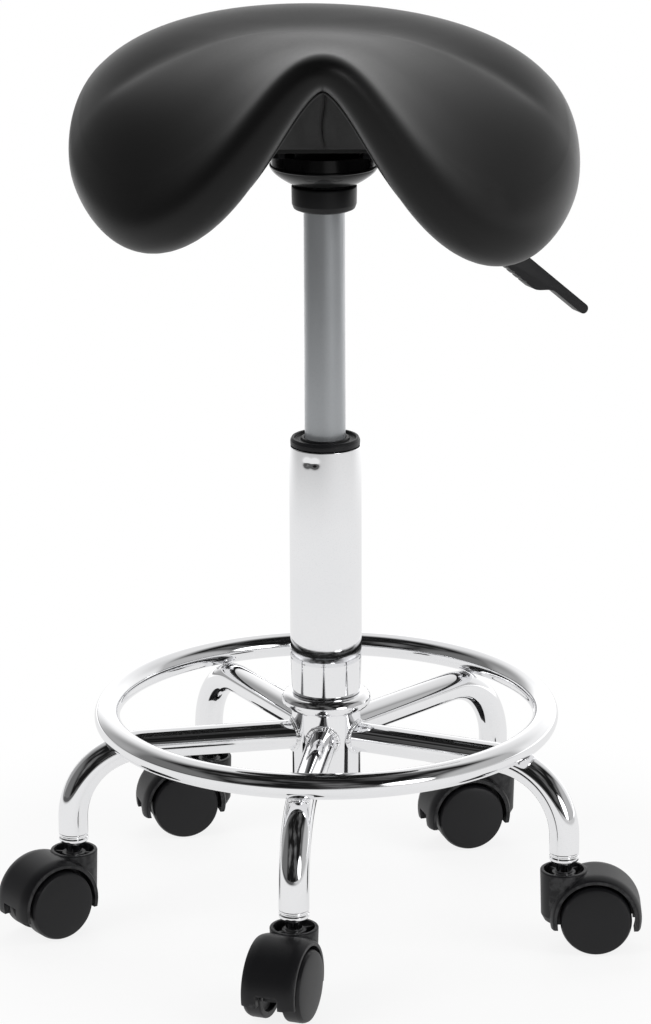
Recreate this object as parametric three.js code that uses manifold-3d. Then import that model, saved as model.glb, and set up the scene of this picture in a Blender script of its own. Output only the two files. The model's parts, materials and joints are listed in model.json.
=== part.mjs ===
// Saddle stool: a padded saddle on a gas spring, over a chrome base with a foot ring and five casters.
// Millimetres, +Z up. The origin is the point of the floor under the column; the seat faces -Y.
import * as THREE from "three";
import { mergeVertices } from "three/addons/utils/BufferGeometryUtils.js";
import Module from "manifold-3d";

const wasm = await Module();
wasm.setup();

// Gaps and cutting
const FIT = 0.3; // left between pieces that touch
const OVERRUN = 2; // how far a cutting shape runs past what it cuts
const WELD = 0.0001; // points closer than this are one point

// Facet counts
const ROUND_SIDES = 24;
const SMALL_SIDES = 16;
const WHEEL_SIDES = 16;
const HOOD_SIDES = 16;
const TUBE_SIDES = 12;
const BORE_SIDES = 8;
const BALL_SIDES = 6;
const BALL_RINGS = 3;
const HEXAGON_SIDES = 6;
const CORNER_STEPS = 4; // round each corner of a plate or block, and the tip of the handle

// Casters: each one is built with its stem on the Z axis and its wheels trailing towards +X
const WHEEL = {
  radius: 24.5, // to the flat of a tread facet, which is also the axle's height
  width: 14,
  shoulder: 2.2, // from the tread in to the domed face
  dome: 1.7, // rise of the face over the shoulder
  rimWall: 4.5,
  dish: 3.4, // depth of the hollow on the inner side
  bossRadius: 7,
  cover: 3, // left over the blind end of the axle bore
};
const AXLE_RADIUS = 2.8;
const HOOD = {
  trail: 22, // stem axis to axle
  radius: 31.5,
  sideRadius: 29.4,
  sideWidth: 37,
  crownWidth: 22,
  web: 14.4, // between the two wheels
  wheelRoom: 2.3, // round the tread
  hemHeight: 17.5, // lower edge over the floor
  notchWidth: 15,
  notchHeight: 26, // top of the notch between the wheels, over the floor
  notchDepth: 14,
  housingRadius: 16.3,
  housingFoot: 10, // radius of the flat under the stem housing
  draft: 0.9,
  wall: 2.4,
  bossRadius: 8,
  bossDrop: 2, // boss and ribs lie below the housing's rim
  recess: 15,
  ribs: 4,
  ribWidth: 1.6,
};
const STEM = {
  radius: 5.5,
  showing: 6.5, // from the housing's rim up to the collar
  collarHeight: 6,
  collarRadius: 10.2,
  collarGroove: 0.8,
  sleeve: 14, // what goes up into the leg
  sleeveRadius: 7.6,
  depth: 20, // what goes down into the hood from its rim
};

// Base
const LEG = {
  count: 5,
  stemCircle: 179,
  turn: THREE.MathUtils.degToRad(-7), // of the front leg, from -Y towards +X
  radius: 10.25,
  bore: 8.75,
  bend: 50,
  drop: 10.5, // straight length below the bend
  bendSteps: 7,
};
const RING = { radius: 152.5, tubeRadius: 8.75, steps: 48, sides: 10 };
const HUB = {
  radius: 24,
  wall: 2.8,
  below: 31.5, // under the spokes' axis
  above: 30.7, // over the spokes' axis
  rimRadius: 31,
  roll: 5.4, // radius of the rolled edge round its top
  rollSteps: 4,
};

// Column and gas spring
const COLUMN = {
  radius: 24.75,
  wall: 2.2,
  height: 176.7, // over the hub
  footRadius: 23.7,
  footTaper: 26,
  neckWall: 2.4,
  neckFloor: 5,
  floorInset: 4, // bottom of the neck over the bottom of the hub
  shoulder: 6,
};
const BUSH = {
  grip: 44, // length inside the column
  flangeRadius: 23.9,
  flangeHeight: 3.2,
  rim: 2.1, // raised edge over the flange
  rimWidth: 2.6,
  grooveDepth: 1.9,
  lipWidth: 1.9,
};
const CYLINDER = {
  radius: 14,
  wall: 2,
  showing: 157.8, // between bush and collar, seat raised
  overlap: 38, // still inside the bush when the seat is raised
  extra: 44, // below that, inside the column
  endWall: 8,
  tipRadius: 13,
  tipLength: 34,
};
const ROD = {
  radius: 5,
  below: 3.8, // under the column's floor
  above: 188, // over the column's floor, up to the piston's top
  pistonHeight: 12,
  pistonGap: 0.4,
  grooveDepth: 1,
};
const BEARING = {
  radius: 13,
  raceHeight: 1.6,
  cageHeight: 3.2,
  balls: 8,
  ballRadius: 1.9,
  ballCircle: 9.6,
};
const BUMPER = { radius: 11, height: 12, waist: 1.6 };
const CLIP = { radius: 8.6, height: 1.2, mouth: THREE.MathUtils.degToRad(80) };

// Mechanism under the seat
const COLLAR = { radius: 22.1, height: 14, wall: 4.6, round: 4.5, roundShare: 0.3 };
const BOWL = { height: 17, rimRadius: 36.8, wall: 2, steps: 4 };
const SOCKET = { wall: 3, height: 30.5 };
const BRACKET = { length: 58, width: 34, height: 15, wall: 2.5, edge: 3 };
const PLATE = { length: 92, width: 84, height: 3, corner: 12 };
const SCREW = {
  spacingX: 60,
  spacingY: 52,
  radius: 3,
  length: 17,
  flangeRadius: 6.6,
  flangeHeight: 1.5,
  headRadius: 5,
  headHeight: 4.2,
};
const VALVE_PIN = { radius: 2.5, length: 20, proud: 3 };
const LEVER = {
  azimuth: THREE.MathUtils.degToRad(25), // from +X towards +Y
  pivot: 20, // column axis to pivot
  inner: 5, // rod past the column axis
  radius: 4,
  pinRadius: 2,
  lift: 0.5, // rod over the valve pin
  kneeAt: 38,
  kneeRadius: 14,
  fall: THREE.MathUtils.degToRad(40),
  kneeSteps: 3,
  length: 244, // column axis to the tip of the handle, along the rod
};
const HANDLE = {
  length: 92,
  depth: 15,
  tipDepth: 7,
  stepAt: 46,
  stepLength: 16,
  width: 13,
  bevel: 1.6,
  rodDepth: 40,
};

// Saddle: heights are over the mounting plate
const SADDLE = {
  halfWidth: 180.5,
  halfLength: 168.3,
  forward: 5.8, // its middle lies this far in front of the column
  frontNarrowingShare: 0.5,
  frontNarrowingPower: 2.08,
  pommel: 74.9,
  frontDip: 58.4,
  middle: 55.3,
  cantle: 47.3,
  tail: -32.6,
  frontSlopeShare: 1.88,
  rearSlopeShare: 0.67,
  fadeShare: 0.8, // of the way back, where the front's slope has become the rear's
  frontCrown: 30, // radius of the ridge at the front, at a slope of one
  rearCrown: 290, // and at the back
  flapDrop: 46.6,
  flapPower: 2,
  flapLean: 5.4, // the right flap hangs this much lower, the left one higher
  crownHeight: 25, // padding over the pan in the middle
  frontEdge: 11.7,
  flapEdge: 48,
  backEdge: 38.8,
  frontEdgePower: 1.5,
  backEdgePower: 2,
  edgePower: 7,
  spokes: 40,
};
const PAN = { thickness: 6, edgeShare: 0.84, recessShare: 0.86 };
const BLOCK = { length: 74, width: 66, corner: 6, headroom: 20 };
const COVER = {
  thickness: 1.6,
  openingRoom: 3.6, // round the block
  plateRoom: 4, // flat part past the edge of the plate
  squareness: 6,
  halfwayShare: 0.5, // of the way from the plate to the rim, where it has one more ring
};

// Heights over the floor, worked out from the floor up
const AXLE_Z = WHEEL.radius;
const HOOD_TOP = AXLE_Z + HOOD.radius;
const COLLAR_Z = HOOD_TOP + STEM.showing;
const LEG_END = COLLAR_Z + STEM.collarHeight + FIT;
const BEND_Z = LEG_END + LEG.drop;
const SPOKE_Z = BEND_Z + LEG.bend;
const BEND_AT = LEG.stemCircle - LEG.bend;
const RING_OUT = Math.max(RING.radius - BEND_AT, 0);
const RING_REACH = LEG.bend + LEG.radius + RING.tubeRadius + FIT;
const RING_Z = BEND_Z + Math.sqrt(RING_REACH ** 2 - RING_OUT ** 2);
const HUB_Z = SPOKE_Z - HUB.below;
const HUB_TOP = SPOKE_Z + HUB.above;
const COLUMN_FLOOR = HUB_Z + COLUMN.floorInset;
const COLUMN_TOP = HUB_TOP + FIT + COLUMN.height;
const BUSH_TOP = COLUMN_TOP + FIT + BUSH.flangeHeight + BUSH.rim;
const COLLAR_BASE = BUSH_TOP + CYLINDER.showing;
const CYLINDER_END = BUSH_TOP - CYLINDER.overlap - CYLINDER.extra;
const COLLAR_TOP = COLLAR_BASE + COLLAR.height;
const SOCKET_Z = COLLAR_BASE + FIT;
const SOCKET_TOP = SOCKET_Z + SOCKET.height;
const CYLINDER_TOP = SOCKET_TOP - FIT;
const BRACKET_Z = SOCKET_TOP + FIT;
const BRACKET_TOP = BRACKET_Z + BRACKET.height;
const PLATE_Z = BRACKET_TOP + FIT;
const PLATE_TOP = PLATE_Z + PLATE.height;
const VALVE_TOP = CYLINDER_TOP + VALVE_PIN.proud;
const LEVER_Z = VALVE_TOP + LEVER.lift + LEVER.radius;
const COLUMN_NECK = HUB.radius - HUB.wall - FIT;
const BEARING_Z = COLUMN_FLOOR + COLUMN.neckFloor + FIT;

const LOOKS = {
  chrome: { color: 0xe8eaec, roughness: 0.08, metalness: 1 },
  satinSteel: { color: 0xa9acb0, roughness: 0.35, metalness: 1 },
  zincSteel: { color: 0x9a9c9e, roughness: 0.45, metalness: 1 },
  blackPaint: { color: 0x121212, roughness: 0.5, metalness: 0.1 },
  blackNylon: { color: 0x1c1c1f, roughness: 0.55, metalness: 0 },
  glossBlack: { color: 0x0c0c0d, roughness: 0.2, metalness: 0 },
  leatherette: { color: 0x101011, roughness: 0.42, metalness: 0 },
  blackCloth: { color: 0x0b0b0b, roughness: 0.85, metalness: 0 },
  rubber: { color: 0x161616, roughness: 0.9, metalness: 0 },
  plywood: { color: 0xb08a5c, roughness: 0.7, metalness: 0 },
  panPlastic: { color: 0x151515, roughness: 0.5, metalness: 0 },
};

function named(name, geometry, look) {
  const mesh = new THREE.Mesh(geometry, new THREE.MeshStandardMaterial(LOOKS[look]));
  mesh.name = name;
  return mesh;
}

// Solids: booleans on closed geometry

function toSolid(geometry) {
  const bare = geometry.clone();
  bare.deleteAttribute("normal");
  bare.deleteAttribute("uv");
  const merged = mergeVertices(bare, WELD);
  return new wasm.Manifold(
    new wasm.Mesh({
      numProp: 3,
      vertProperties: merged.attributes.position.array,
      triVerts: new Uint32Array(merged.index.array),
    }),
  );
}

function toGeometry(solid) {
  const { vertProperties, triVerts } = solid.getMesh();
  const geometry = new THREE.BufferGeometry();
  geometry.setAttribute("position", new THREE.BufferAttribute(new Float32Array(vertProperties), 3));
  geometry.setIndex(new THREE.BufferAttribute(new Uint32Array(triVerts), 1));
  geometry.computeVertexNormals();
  return geometry;
}

function cut(geometry, ...tools) {
  return toGeometry(tools.reduce((solid, tool) => solid.subtract(toSolid(tool)), toSolid(geometry)));
}

function join(...geometries) {
  return toGeometry(geometries.map(toSolid).reduce((whole, solid) => whole.add(solid)));
}

// Revolves a profile of [radius, height] points about Z; it runs up outside and down inside.
// A flat of each facet, not an edge, faces along the axes.
function turned(profile, sides = ROUND_SIDES) {
  const points = profile.map(([r, z]) => new THREE.Vector2(r, z));
  return new THREE.LatheGeometry(points, sides, Math.PI / sides).rotateX(Math.PI / 2);
}

// The same profile closed on itself, for a piece with a hole along its axis
function turnedRing(profile, sides) {
  return turned([...profile, profile[0]], sides);
}

function rod(radius, low, high, sides = SMALL_SIDES) {
  return turned([[0, low], [radius, low], [radius, high], [0, high]], sides);
}

function tubeRing(inner, outer, low, high, sides) {
  return turnedRing([[inner, low], [outer, low], [outer, high], [inner, high]], sides);
}

function box(lengthX, lengthY, low, high) {
  const middle = (low + high) / 2;
  return new THREE.BoxGeometry(lengthX, lengthY, high - low).translate(0, 0, middle);
}

// Lays a solid of revolution along Y
function alongY(geometry) {
  return geometry.rotateX(-Math.PI / 2);
}

function circle(radius, sides) {
  const step = (2 * Math.PI) / sides;
  return Array.from({ length: sides }, (_, i) => {
    const angle = (i + 0.5) * step;
    return new THREE.Vector2(radius * Math.cos(angle), radius * Math.sin(angle));
  });
}

function roundedRectangle(length, width, corner) {
  const shape = new THREE.Shape();
  const x = length / 2;
  const y = width / 2;
  shape.moveTo(x, y - corner);
  shape.absarc(x - corner, y - corner, corner, 0, Math.PI / 2);
  shape.absarc(corner - x, y - corner, corner, Math.PI / 2, Math.PI);
  shape.absarc(corner - x, corner - y, corner, Math.PI, (3 * Math.PI) / 2);
  shape.absarc(x - corner, corner - y, corner, (3 * Math.PI) / 2, 2 * Math.PI);
  return shape;
}

// A straight run, a bend of constant radius in the XZ plane, and a second straight run.
// It starts at (startX, height), runs towards +X, and turns down by the given angle at kneeX.
class KneePath extends THREE.Curve {
  constructor({ startX, kneeX, height, radius, angle, tail, bendSteps }) {
    super();
    Object.assign(this, { startX, kneeX, height, radius, angle, tail, bendSteps });
    this.steps = bendSteps + 2;
  }
  turnAt(t) {
    const along = THREE.MathUtils.clamp(t * this.steps - 1, 0, this.bendSteps);
    return (this.angle * along) / this.bendSteps;
  }
  getPoint(t) {
    const turn = this.turnAt(t);
    const lead = Math.max(1 - t * this.steps, 0) * (this.startX - this.kneeX);
    const trail = Math.max(t * this.steps - this.bendSteps - 1, 0) * this.tail;
    const x = this.kneeX + lead + this.radius * Math.sin(turn) + trail * Math.cos(this.angle);
    const z = this.height - this.radius * (1 - Math.cos(turn)) - trail * Math.sin(this.angle);
    return new THREE.Vector3(x, 0, z);
  }
  getPointAt(t) {
    return this.getPoint(t);
  }
  getTangentAt(t) {
    const turn = this.turnAt(t);
    return new THREE.Vector3(Math.cos(turn), 0, -Math.sin(turn));
  }
}

function sweptTube(path, radius, bore) {
  const section = new THREE.Shape(circle(radius, TUBE_SIDES));
  if (bore) section.holes.push(new THREE.Path(circle(bore, BORE_SIDES).reverse()));
  return new THREE.ExtrudeGeometry(section, { steps: path.steps, extrudePath: path });
}

// Casters

const WHEEL_IN = HOOD.web / 2 + FIT; // inner face of a wheel, from the caster's middle
const AXLE_BORE = AXLE_RADIUS + FIT;
const AXLE_END = WHEEL_IN + WHEEL.width - WHEEL.cover - FIT;

function wheel() {
  const tread = WHEEL.radius / Math.cos(Math.PI / WHEEL_SIDES);
  const face = WHEEL.width - WHEEL.dome;
  const rim = tread - WHEEL.rimWall;
  const boreEnd = WHEEL.width - WHEEL.cover;
  return turned(
    [
      [0, boreEnd],
      [AXLE_BORE, boreEnd],
      [AXLE_BORE, 0],
      [WHEEL.bossRadius, 0],
      [WHEEL.bossRadius + WHEEL.dish / 2, WHEEL.dish],
      [rim, WHEEL.dish],
      [rim, 0],
      [tread, 0],
      [tread, face - WHEEL.shoulder],
      [tread - WHEEL.shoulder, face],
      [0, WHEEL.width],
    ],
    WHEEL_SIDES,
  );
}

function casterHood() {
  const { radius, sideRadius, sideWidth, crownWidth, housingRadius, housingFoot, draft } = HOOD;
  const boreRadius = STEM.radius + FIT;
  const stemEnd = HOOD_TOP - STEM.depth - FIT;
  const pocketRadius = WHEEL.radius + HOOD.wheelRoom;
  const fender = alongY(
    turned(
      [
        [0, -sideWidth / 2],
        [sideRadius, -sideWidth / 2],
        [radius, -crownWidth / 2],
        [radius, crownWidth / 2],
        [sideRadius, sideWidth / 2],
        [0, sideWidth / 2],
      ],
      HOOD_SIDES,
    ),
  ).translate(HOOD.trail, 0, AXLE_Z);
  const turnUnder = housingRadius - housingFoot;
  const housing = turned(
    [
      [0, HOOD.hemHeight],
      [housingFoot, HOOD.hemHeight],
      [housingFoot + turnUnder / 2, HOOD.hemHeight + turnUnder / 3],
      [housingRadius - draft, HOOD.hemHeight + turnUnder],
      [housingRadius, HOOD_TOP],
      [0, HOOD_TOP],
    ],
    HOOD_SIDES,
  );
  const reach = HOOD.trail + radius + OVERRUN;
  const hem = box(2 * reach, sideWidth + 2 * OVERRUN, -OVERRUN - radius, HOOD.hemHeight);
  const body = cut(join(fender, housing), hem);

  const recessRadius = housingRadius - HOOD.wall;
  const overTop = HOOD_TOP + OVERRUN;
  const overWheels = alongY(rod(pocketRadius + HOOD.wall, -sideWidth, sideWidth, HOOD_SIDES));
  const recess = cut(
    tubeRing(HOOD.bossRadius, recessRadius, HOOD_TOP - HOOD.recess, overTop, HOOD_SIDES),
    overWheels.translate(HOOD.trail, 0, AXLE_Z),
    ...ribSlabs(recessRadius),
  );
  const crown = rod(recessRadius, HOOD_TOP - HOOD.bossDrop, overTop, HOOD_SIDES);
  const bore = rod(boreRadius, stemEnd, overTop, TUBE_SIDES);
  const pockets = [-1, 1].map((side) => {
    const inner = side * (HOOD.web / 2);
    const outer = side * (sideWidth / 2 + OVERRUN);
    const pocket = rod(pocketRadius, Math.min(inner, outer), Math.max(inner, outer), HOOD_SIDES);
    return alongY(pocket).translate(HOOD.trail, 0, AXLE_Z);
  });
  const axleBore = alongY(rod(AXLE_BORE, -sideWidth / 2, sideWidth / 2, TUBE_SIDES));
  const notch = box(HOOD.notchDepth + OVERRUN, HOOD.notchWidth, 0, HOOD.notchHeight);
  notch.translate(HOOD.trail + radius - HOOD.notchDepth / 2, 0, 0);
  return cut(body, recess, crown, bore, ...pockets, axleBore.translate(HOOD.trail, 0, AXLE_Z), notch);
}

// The ribs that stay standing in the recess of the stem housing
function ribSlabs(recessRadius) {
  const low = HOOD_TOP - HOOD.recess - OVERRUN;
  const high = HOOD_TOP - HOOD.bossDrop;
  return Array.from({ length: HOOD.ribs / 2 }, (_, i) =>
    box(2 * recessRadius, HOOD.ribWidth, low, high).rotateZ((i * 2 * Math.PI) / HOOD.ribs),
  );
}

function casterStem() {
  const collarTop = COLLAR_Z + STEM.collarHeight;
  const groove = STEM.collarRadius - STEM.collarGroove;
  return turned(
    [
      [0, HOOD_TOP - STEM.depth],
      [STEM.radius, HOOD_TOP - STEM.depth],
      [STEM.radius, COLLAR_Z],
      [STEM.collarRadius, COLLAR_Z],
      [STEM.collarRadius, COLLAR_Z + STEM.collarHeight / 2],
      [groove, COLLAR_Z + (3 * STEM.collarHeight) / 4],
      [groove, collarTop],
      [STEM.sleeveRadius, collarTop],
      [STEM.sleeveRadius, collarTop + STEM.sleeve],
      [0, collarTop + STEM.sleeve],
    ],
    TUBE_SIDES,
  );
}

// Which way each caster trails in the photograph, as an angle from -Y towards +X
const TRAILS = [
  { place: "front", trail: THREE.MathUtils.degToRad(-20) },
  { place: "front_right", trail: THREE.MathUtils.degToRad(88) },
  { place: "rear_right", trail: THREE.MathUtils.degToRad(-74) },
  { place: "rear_left", trail: THREE.MathUtils.degToRad(-76) },
  { place: "front_left", trail: THREE.MathUtils.degToRad(-53.5) },
];

// Turns what points along +X so that it points away from -Y by the angle, towards +X
function facing(angle) {
  return angle - Math.PI / 2;
}

function caster({ place, trail }, legAngle) {
  const group = new THREE.Group();
  const axle = alongY(rod(AXLE_RADIUS, -AXLE_END, AXLE_END, TUBE_SIDES));
  group.add(named(`caster_stem_${place}`, casterStem(), "chrome"));
  group.add(named(`caster_hood_${place}`, casterHood(), "blackNylon"));
  group.add(named(`caster_axle_${place}`, axle.translate(HOOD.trail, 0, AXLE_Z), "zincSteel"));
  for (const [hand, side] of [["left", 1], ["right", -1]]) {
    const disc = alongY(wheel()).translate(0, WHEEL_IN, 0);
    if (side < 0) disc.rotateZ(Math.PI);
    disc.translate(HOOD.trail, 0, AXLE_Z);
    group.add(named(`wheel_${hand}_${place}`, disc, "blackNylon"));
  }
  group.rotation.z = facing(trail);
  group.position.set(LEG.stemCircle * Math.sin(legAngle), -LEG.stemCircle * Math.cos(legAngle), 0);
  return group;
}

// Base: hub, legs and foot ring

function leg() {
  const path = new KneePath({
    startX: HUB.radius / 2,
    kneeX: BEND_AT,
    height: SPOKE_Z,
    radius: LEG.bend,
    angle: Math.PI / 2,
    tail: LEG.drop,
    bendSteps: LEG.bendSteps,
  });
  const coping = rod(HUB.radius + FIT, HUB_Z - OVERRUN, HUB_TOP + OVERRUN, 2 * ROUND_SIDES);
  return cut(sweptTube(path, LEG.radius, LEG.bore), coping);
}

function hub() {
  const { radius, wall, rimRadius, roll, rollSteps } = HUB;
  const rolled = Array.from({ length: rollSteps + 1 }, (_, i) => {
    const angle = (i / rollSteps - 1 / 2) * Math.PI;
    return [rimRadius - roll + roll * Math.cos(angle), HUB_TOP - roll + roll * Math.sin(angle)];
  });
  return turnedRing([
    [radius - wall, HUB_Z],
    [radius, HUB_Z],
    [radius, HUB_TOP - 2 * roll],
    ...rolled,
    [radius - wall, HUB_TOP],
  ]);
}

function footRing() {
  const { radius, tubeRadius, sides, steps } = RING;
  return new THREE.TorusGeometry(radius, tubeRadius, sides, steps).translate(0, 0, RING_Z);
}

// Column and gas spring

function outerColumn() {
  const inner = COLUMN.radius - COLUMN.wall;
  const neckInner = COLUMN_NECK - COLUMN.neckWall;
  const seatZ = HUB_TOP + FIT;
  return turnedRing([
    [ROD.radius + FIT, COLUMN_FLOOR],
    [COLUMN_NECK, COLUMN_FLOOR],
    [COLUMN_NECK, seatZ],
    [COLUMN.footRadius, seatZ],
    [COLUMN.radius, seatZ + COLUMN.footTaper],
    [COLUMN.radius, COLUMN_TOP],
    [inner, COLUMN_TOP],
    [inner, seatZ + COLUMN.shoulder + COLUMN.wall],
    [neckInner, seatZ + COLUMN.shoulder],
    [neckInner, COLUMN_FLOOR + COLUMN.neckFloor],
    [ROD.radius + FIT, COLUMN_FLOOR + COLUMN.neckFloor],
  ]);
}

function columnBush() {
  const bore = CYLINDER.radius + FIT;
  const body = COLUMN.radius - COLUMN.wall - FIT;
  const flangeZ = COLUMN_TOP + FIT;
  const groove = BUSH_TOP - BUSH.grooveDepth;
  return turnedRing([
    [bore, COLUMN_TOP - BUSH.grip],
    [body, COLUMN_TOP - BUSH.grip],
    [body, flangeZ],
    [BUSH.flangeRadius, flangeZ],
    [BUSH.flangeRadius, flangeZ + BUSH.flangeHeight],
    [BUSH.flangeRadius - BUSH.rim / 2, BUSH_TOP],
    [BUSH.flangeRadius - BUSH.rimWidth, BUSH_TOP],
    [BUSH.flangeRadius - BUSH.rimWidth - BUSH.grooveDepth / 3, groove],
    [bore + BUSH.lipWidth + BUSH.grooveDepth / 3, groove],
    [bore + BUSH.lipWidth, BUSH_TOP],
    [bore, BUSH_TOP],
  ]);
}

function gasCylinder() {
  const { radius, wall, endWall, tipRadius, tipLength } = CYLINDER;
  const rodHole = ROD.radius + FIT;
  const inner = radius - wall;
  const pinHole = VALVE_PIN.radius + FIT;
  const tipInner = tipRadius - wall;
  return turnedRing([
    [rodHole, CYLINDER_END],
    [radius, CYLINDER_END],
    [radius, CYLINDER_TOP - tipLength],
    [tipRadius, CYLINDER_TOP],
    [pinHole, CYLINDER_TOP],
    [pinHole, CYLINDER_TOP - endWall],
    [tipInner, CYLINDER_TOP - endWall],
    [inner, CYLINDER_TOP - tipLength - endWall],
    [inner, CYLINDER_END + endWall],
    [rodHole, CYLINDER_END + endWall],
  ]);
}

function pistonRod() {
  const top = COLUMN_FLOOR + ROD.above;
  const end = COLUMN_FLOOR - ROD.below;
  const piston = CYLINDER.radius - CYLINDER.wall - ROD.pistonGap;
  const groove = ROD.radius - ROD.grooveDepth;
  const clipLow = COLUMN_FLOOR - 2 * FIT - CLIP.height;
  return turned(
    [
      [0, end],
      [ROD.radius, end],
      [ROD.radius, clipLow],
      [groove, clipLow],
      [groove, COLUMN_FLOOR],
      [ROD.radius, COLUMN_FLOOR],
      [ROD.radius, top - ROD.pistonHeight],
      [piston, top - ROD.pistonHeight],
      [piston, top],
      [0, top],
    ],
    SMALL_SIDES,
  );
}

function bearingStack() {
  const bore = ROD.radius + FIT;
  const cageZ = BEARING_Z + BEARING.raceHeight + FIT;
  const upperZ = cageZ + BEARING.cageHeight + FIT;
  const bumperZ = upperZ + BEARING.raceHeight + FIT;
  const middle = cageZ + BEARING.cageHeight / 2;
  const sheet = BEARING.cageHeight / 6;
  const ballReach = BEARING.cageHeight / 2;
  const balls = Array.from({ length: BEARING.balls }, (_, i) => {
    const ball = new THREE.SphereGeometry(Math.min(BEARING.ballRadius, ballReach), BALL_SIDES, BALL_RINGS);
    return ball.translate(BEARING.ballCircle, 0, middle).rotateZ((i * 2 * Math.PI) / BEARING.balls);
  });
  const cage = tubeRing(bore, BEARING.radius, middle - sheet, middle + sheet, SMALL_SIDES);
  const waist = BUMPER.radius - BUMPER.waist;
  const bumper = turnedRing(
    [
      [bore, bumperZ],
      [BUMPER.radius, bumperZ],
      [waist, bumperZ + BUMPER.height / 3],
      [waist, bumperZ + (2 * BUMPER.height) / 3],
      [BUMPER.radius, bumperZ + BUMPER.height],
      [bore, bumperZ + BUMPER.height],
    ],
    SMALL_SIDES,
  );
  const race = (low) => tubeRing(bore, BEARING.radius, low, low + BEARING.raceHeight, SMALL_SIDES);
  return [
    named("bearing_lower_race", race(BEARING_Z), "zincSteel"),
    named("bearing_ball_cage", join(cage, ...balls), "zincSteel"),
    named("bearing_upper_race", race(upperZ), "zincSteel"),
    named("rubber_bumper", bumper, "rubber"),
  ];
}

// A C-shaped clip in the rod's groove
function retainingClip() {
  const inner = ROD.radius - ROD.grooveDepth + FIT;
  const start = CLIP.mouth / 2;
  const end = 2 * Math.PI - CLIP.mouth / 2;
  const shape = new THREE.Shape();
  shape.absarc(0, 0, CLIP.radius, start, end, false);
  shape.absarc(0, 0, inner, end, start, true);
  const clip = new THREE.ExtrudeGeometry(shape, {
    depth: CLIP.height,
    bevelEnabled: false,
    curveSegments: TUBE_SIDES,
  });
  return clip.translate(0, 0, COLUMN_FLOOR - FIT - CLIP.height);
}

// Mechanism

function socketCollar() {
  const inner = COLLAR.radius - COLLAR.wall;
  const corner = COLLAR.round * COLLAR.roundShare;
  return turnedRing([
    [inner, COLLAR_BASE],
    [COLLAR.radius - COLLAR.round, COLLAR_BASE],
    [COLLAR.radius - corner, COLLAR_BASE + corner],
    [COLLAR.radius, COLLAR_BASE + COLLAR.round],
    [COLLAR.radius, COLLAR_TOP],
    [inner, COLLAR_TOP],
  ]);
}

// Inside and outside each rise from the collar to the rim on a quarter of an ellipse
function mechanismBowl() {
  const low = COLLAR_TOP + FIT;
  const top = low + BOWL.height;
  const quarter = (floor, rimRadius) =>
    Array.from({ length: BOWL.steps + 1 }, (_, i) => {
      const angle = ((i / BOWL.steps) * Math.PI) / 2;
      const radius = THREE.MathUtils.lerp(COLLAR.radius, rimRadius, Math.sin(angle));
      return [radius, top - (top - floor) * Math.cos(angle)];
    });
  const inner = COLLAR.radius - COLLAR.wall;
  return turnedRing([
    [inner, low],
    ...quarter(low, BOWL.rimRadius),
    ...quarter(low + BOWL.wall, BOWL.rimRadius - BOWL.wall).reverse(),
    [inner, low + BOWL.wall],
  ]);
}

function taperSocket() {
  const top = CYLINDER.tipRadius + FIT;
  const share = SOCKET.height / CYLINDER.tipLength;
  const bottom = top + (CYLINDER.radius - CYLINDER.tipRadius) * share;
  const outer = bottom + SOCKET.wall;
  return turnedRing([[bottom, SOCKET_Z], [outer, SOCKET_Z], [outer, SOCKET_TOP], [top, SOCKET_TOP]]);
}

// A folded channel, open below and at its ends, with a hole for the pivot pin through both sides
function leverBracket() {
  const { length, width, height, wall, edge } = BRACKET;
  const half = width / 2;
  const shape = new THREE.Shape();
  shape.moveTo(-half, 0);
  shape.lineTo(wall - half, 0);
  shape.lineTo(wall - half, height - wall);
  shape.lineTo(half - wall, height - wall);
  shape.lineTo(half - wall, 0);
  shape.lineTo(half, 0);
  shape.lineTo(half, height - edge);
  shape.lineTo(half - edge, height);
  shape.lineTo(edge - half, height);
  shape.lineTo(-half, height - edge);
  const channel = new THREE.ExtrudeGeometry(shape, { depth: length, bevelEnabled: false, steps: 1 });
  channel.translate(0, 0, -length / 2);
  // The section stands up in XZ, and the channel runs along X
  channel.rotateX(Math.PI / 2).rotateZ(Math.PI / 2).translate(0, 0, BRACKET_Z);
  const pinHole = alongY(rod(LEVER.pinRadius + FIT, -width, width)).translate(LEVER.pivot, 0, LEVER_Z);
  return cut(channel, pinHole);
}

function leverPath() {
  const run = LEVER.kneeRadius * LEVER.fall;
  return new KneePath({
    startX: -LEVER.inner,
    kneeX: LEVER.kneeAt,
    height: LEVER_Z,
    radius: LEVER.kneeRadius,
    angle: LEVER.fall,
    tail: LEVER.length - LEVER.kneeAt - run,
    bendSteps: LEVER.kneeSteps,
  });
}

function leverRod() {
  const full = leverPath();
  const path = new KneePath({ ...full, tail: full.tail - HANDLE.length + HANDLE.rodDepth });
  const pinHole = alongY(rod(LEVER.pinRadius + FIT, -BRACKET.width, BRACKET.width));
  return cut(sweptTube(path, LEVER.radius), pinHole.translate(LEVER.pivot, 0, LEVER_Z));
}

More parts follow.
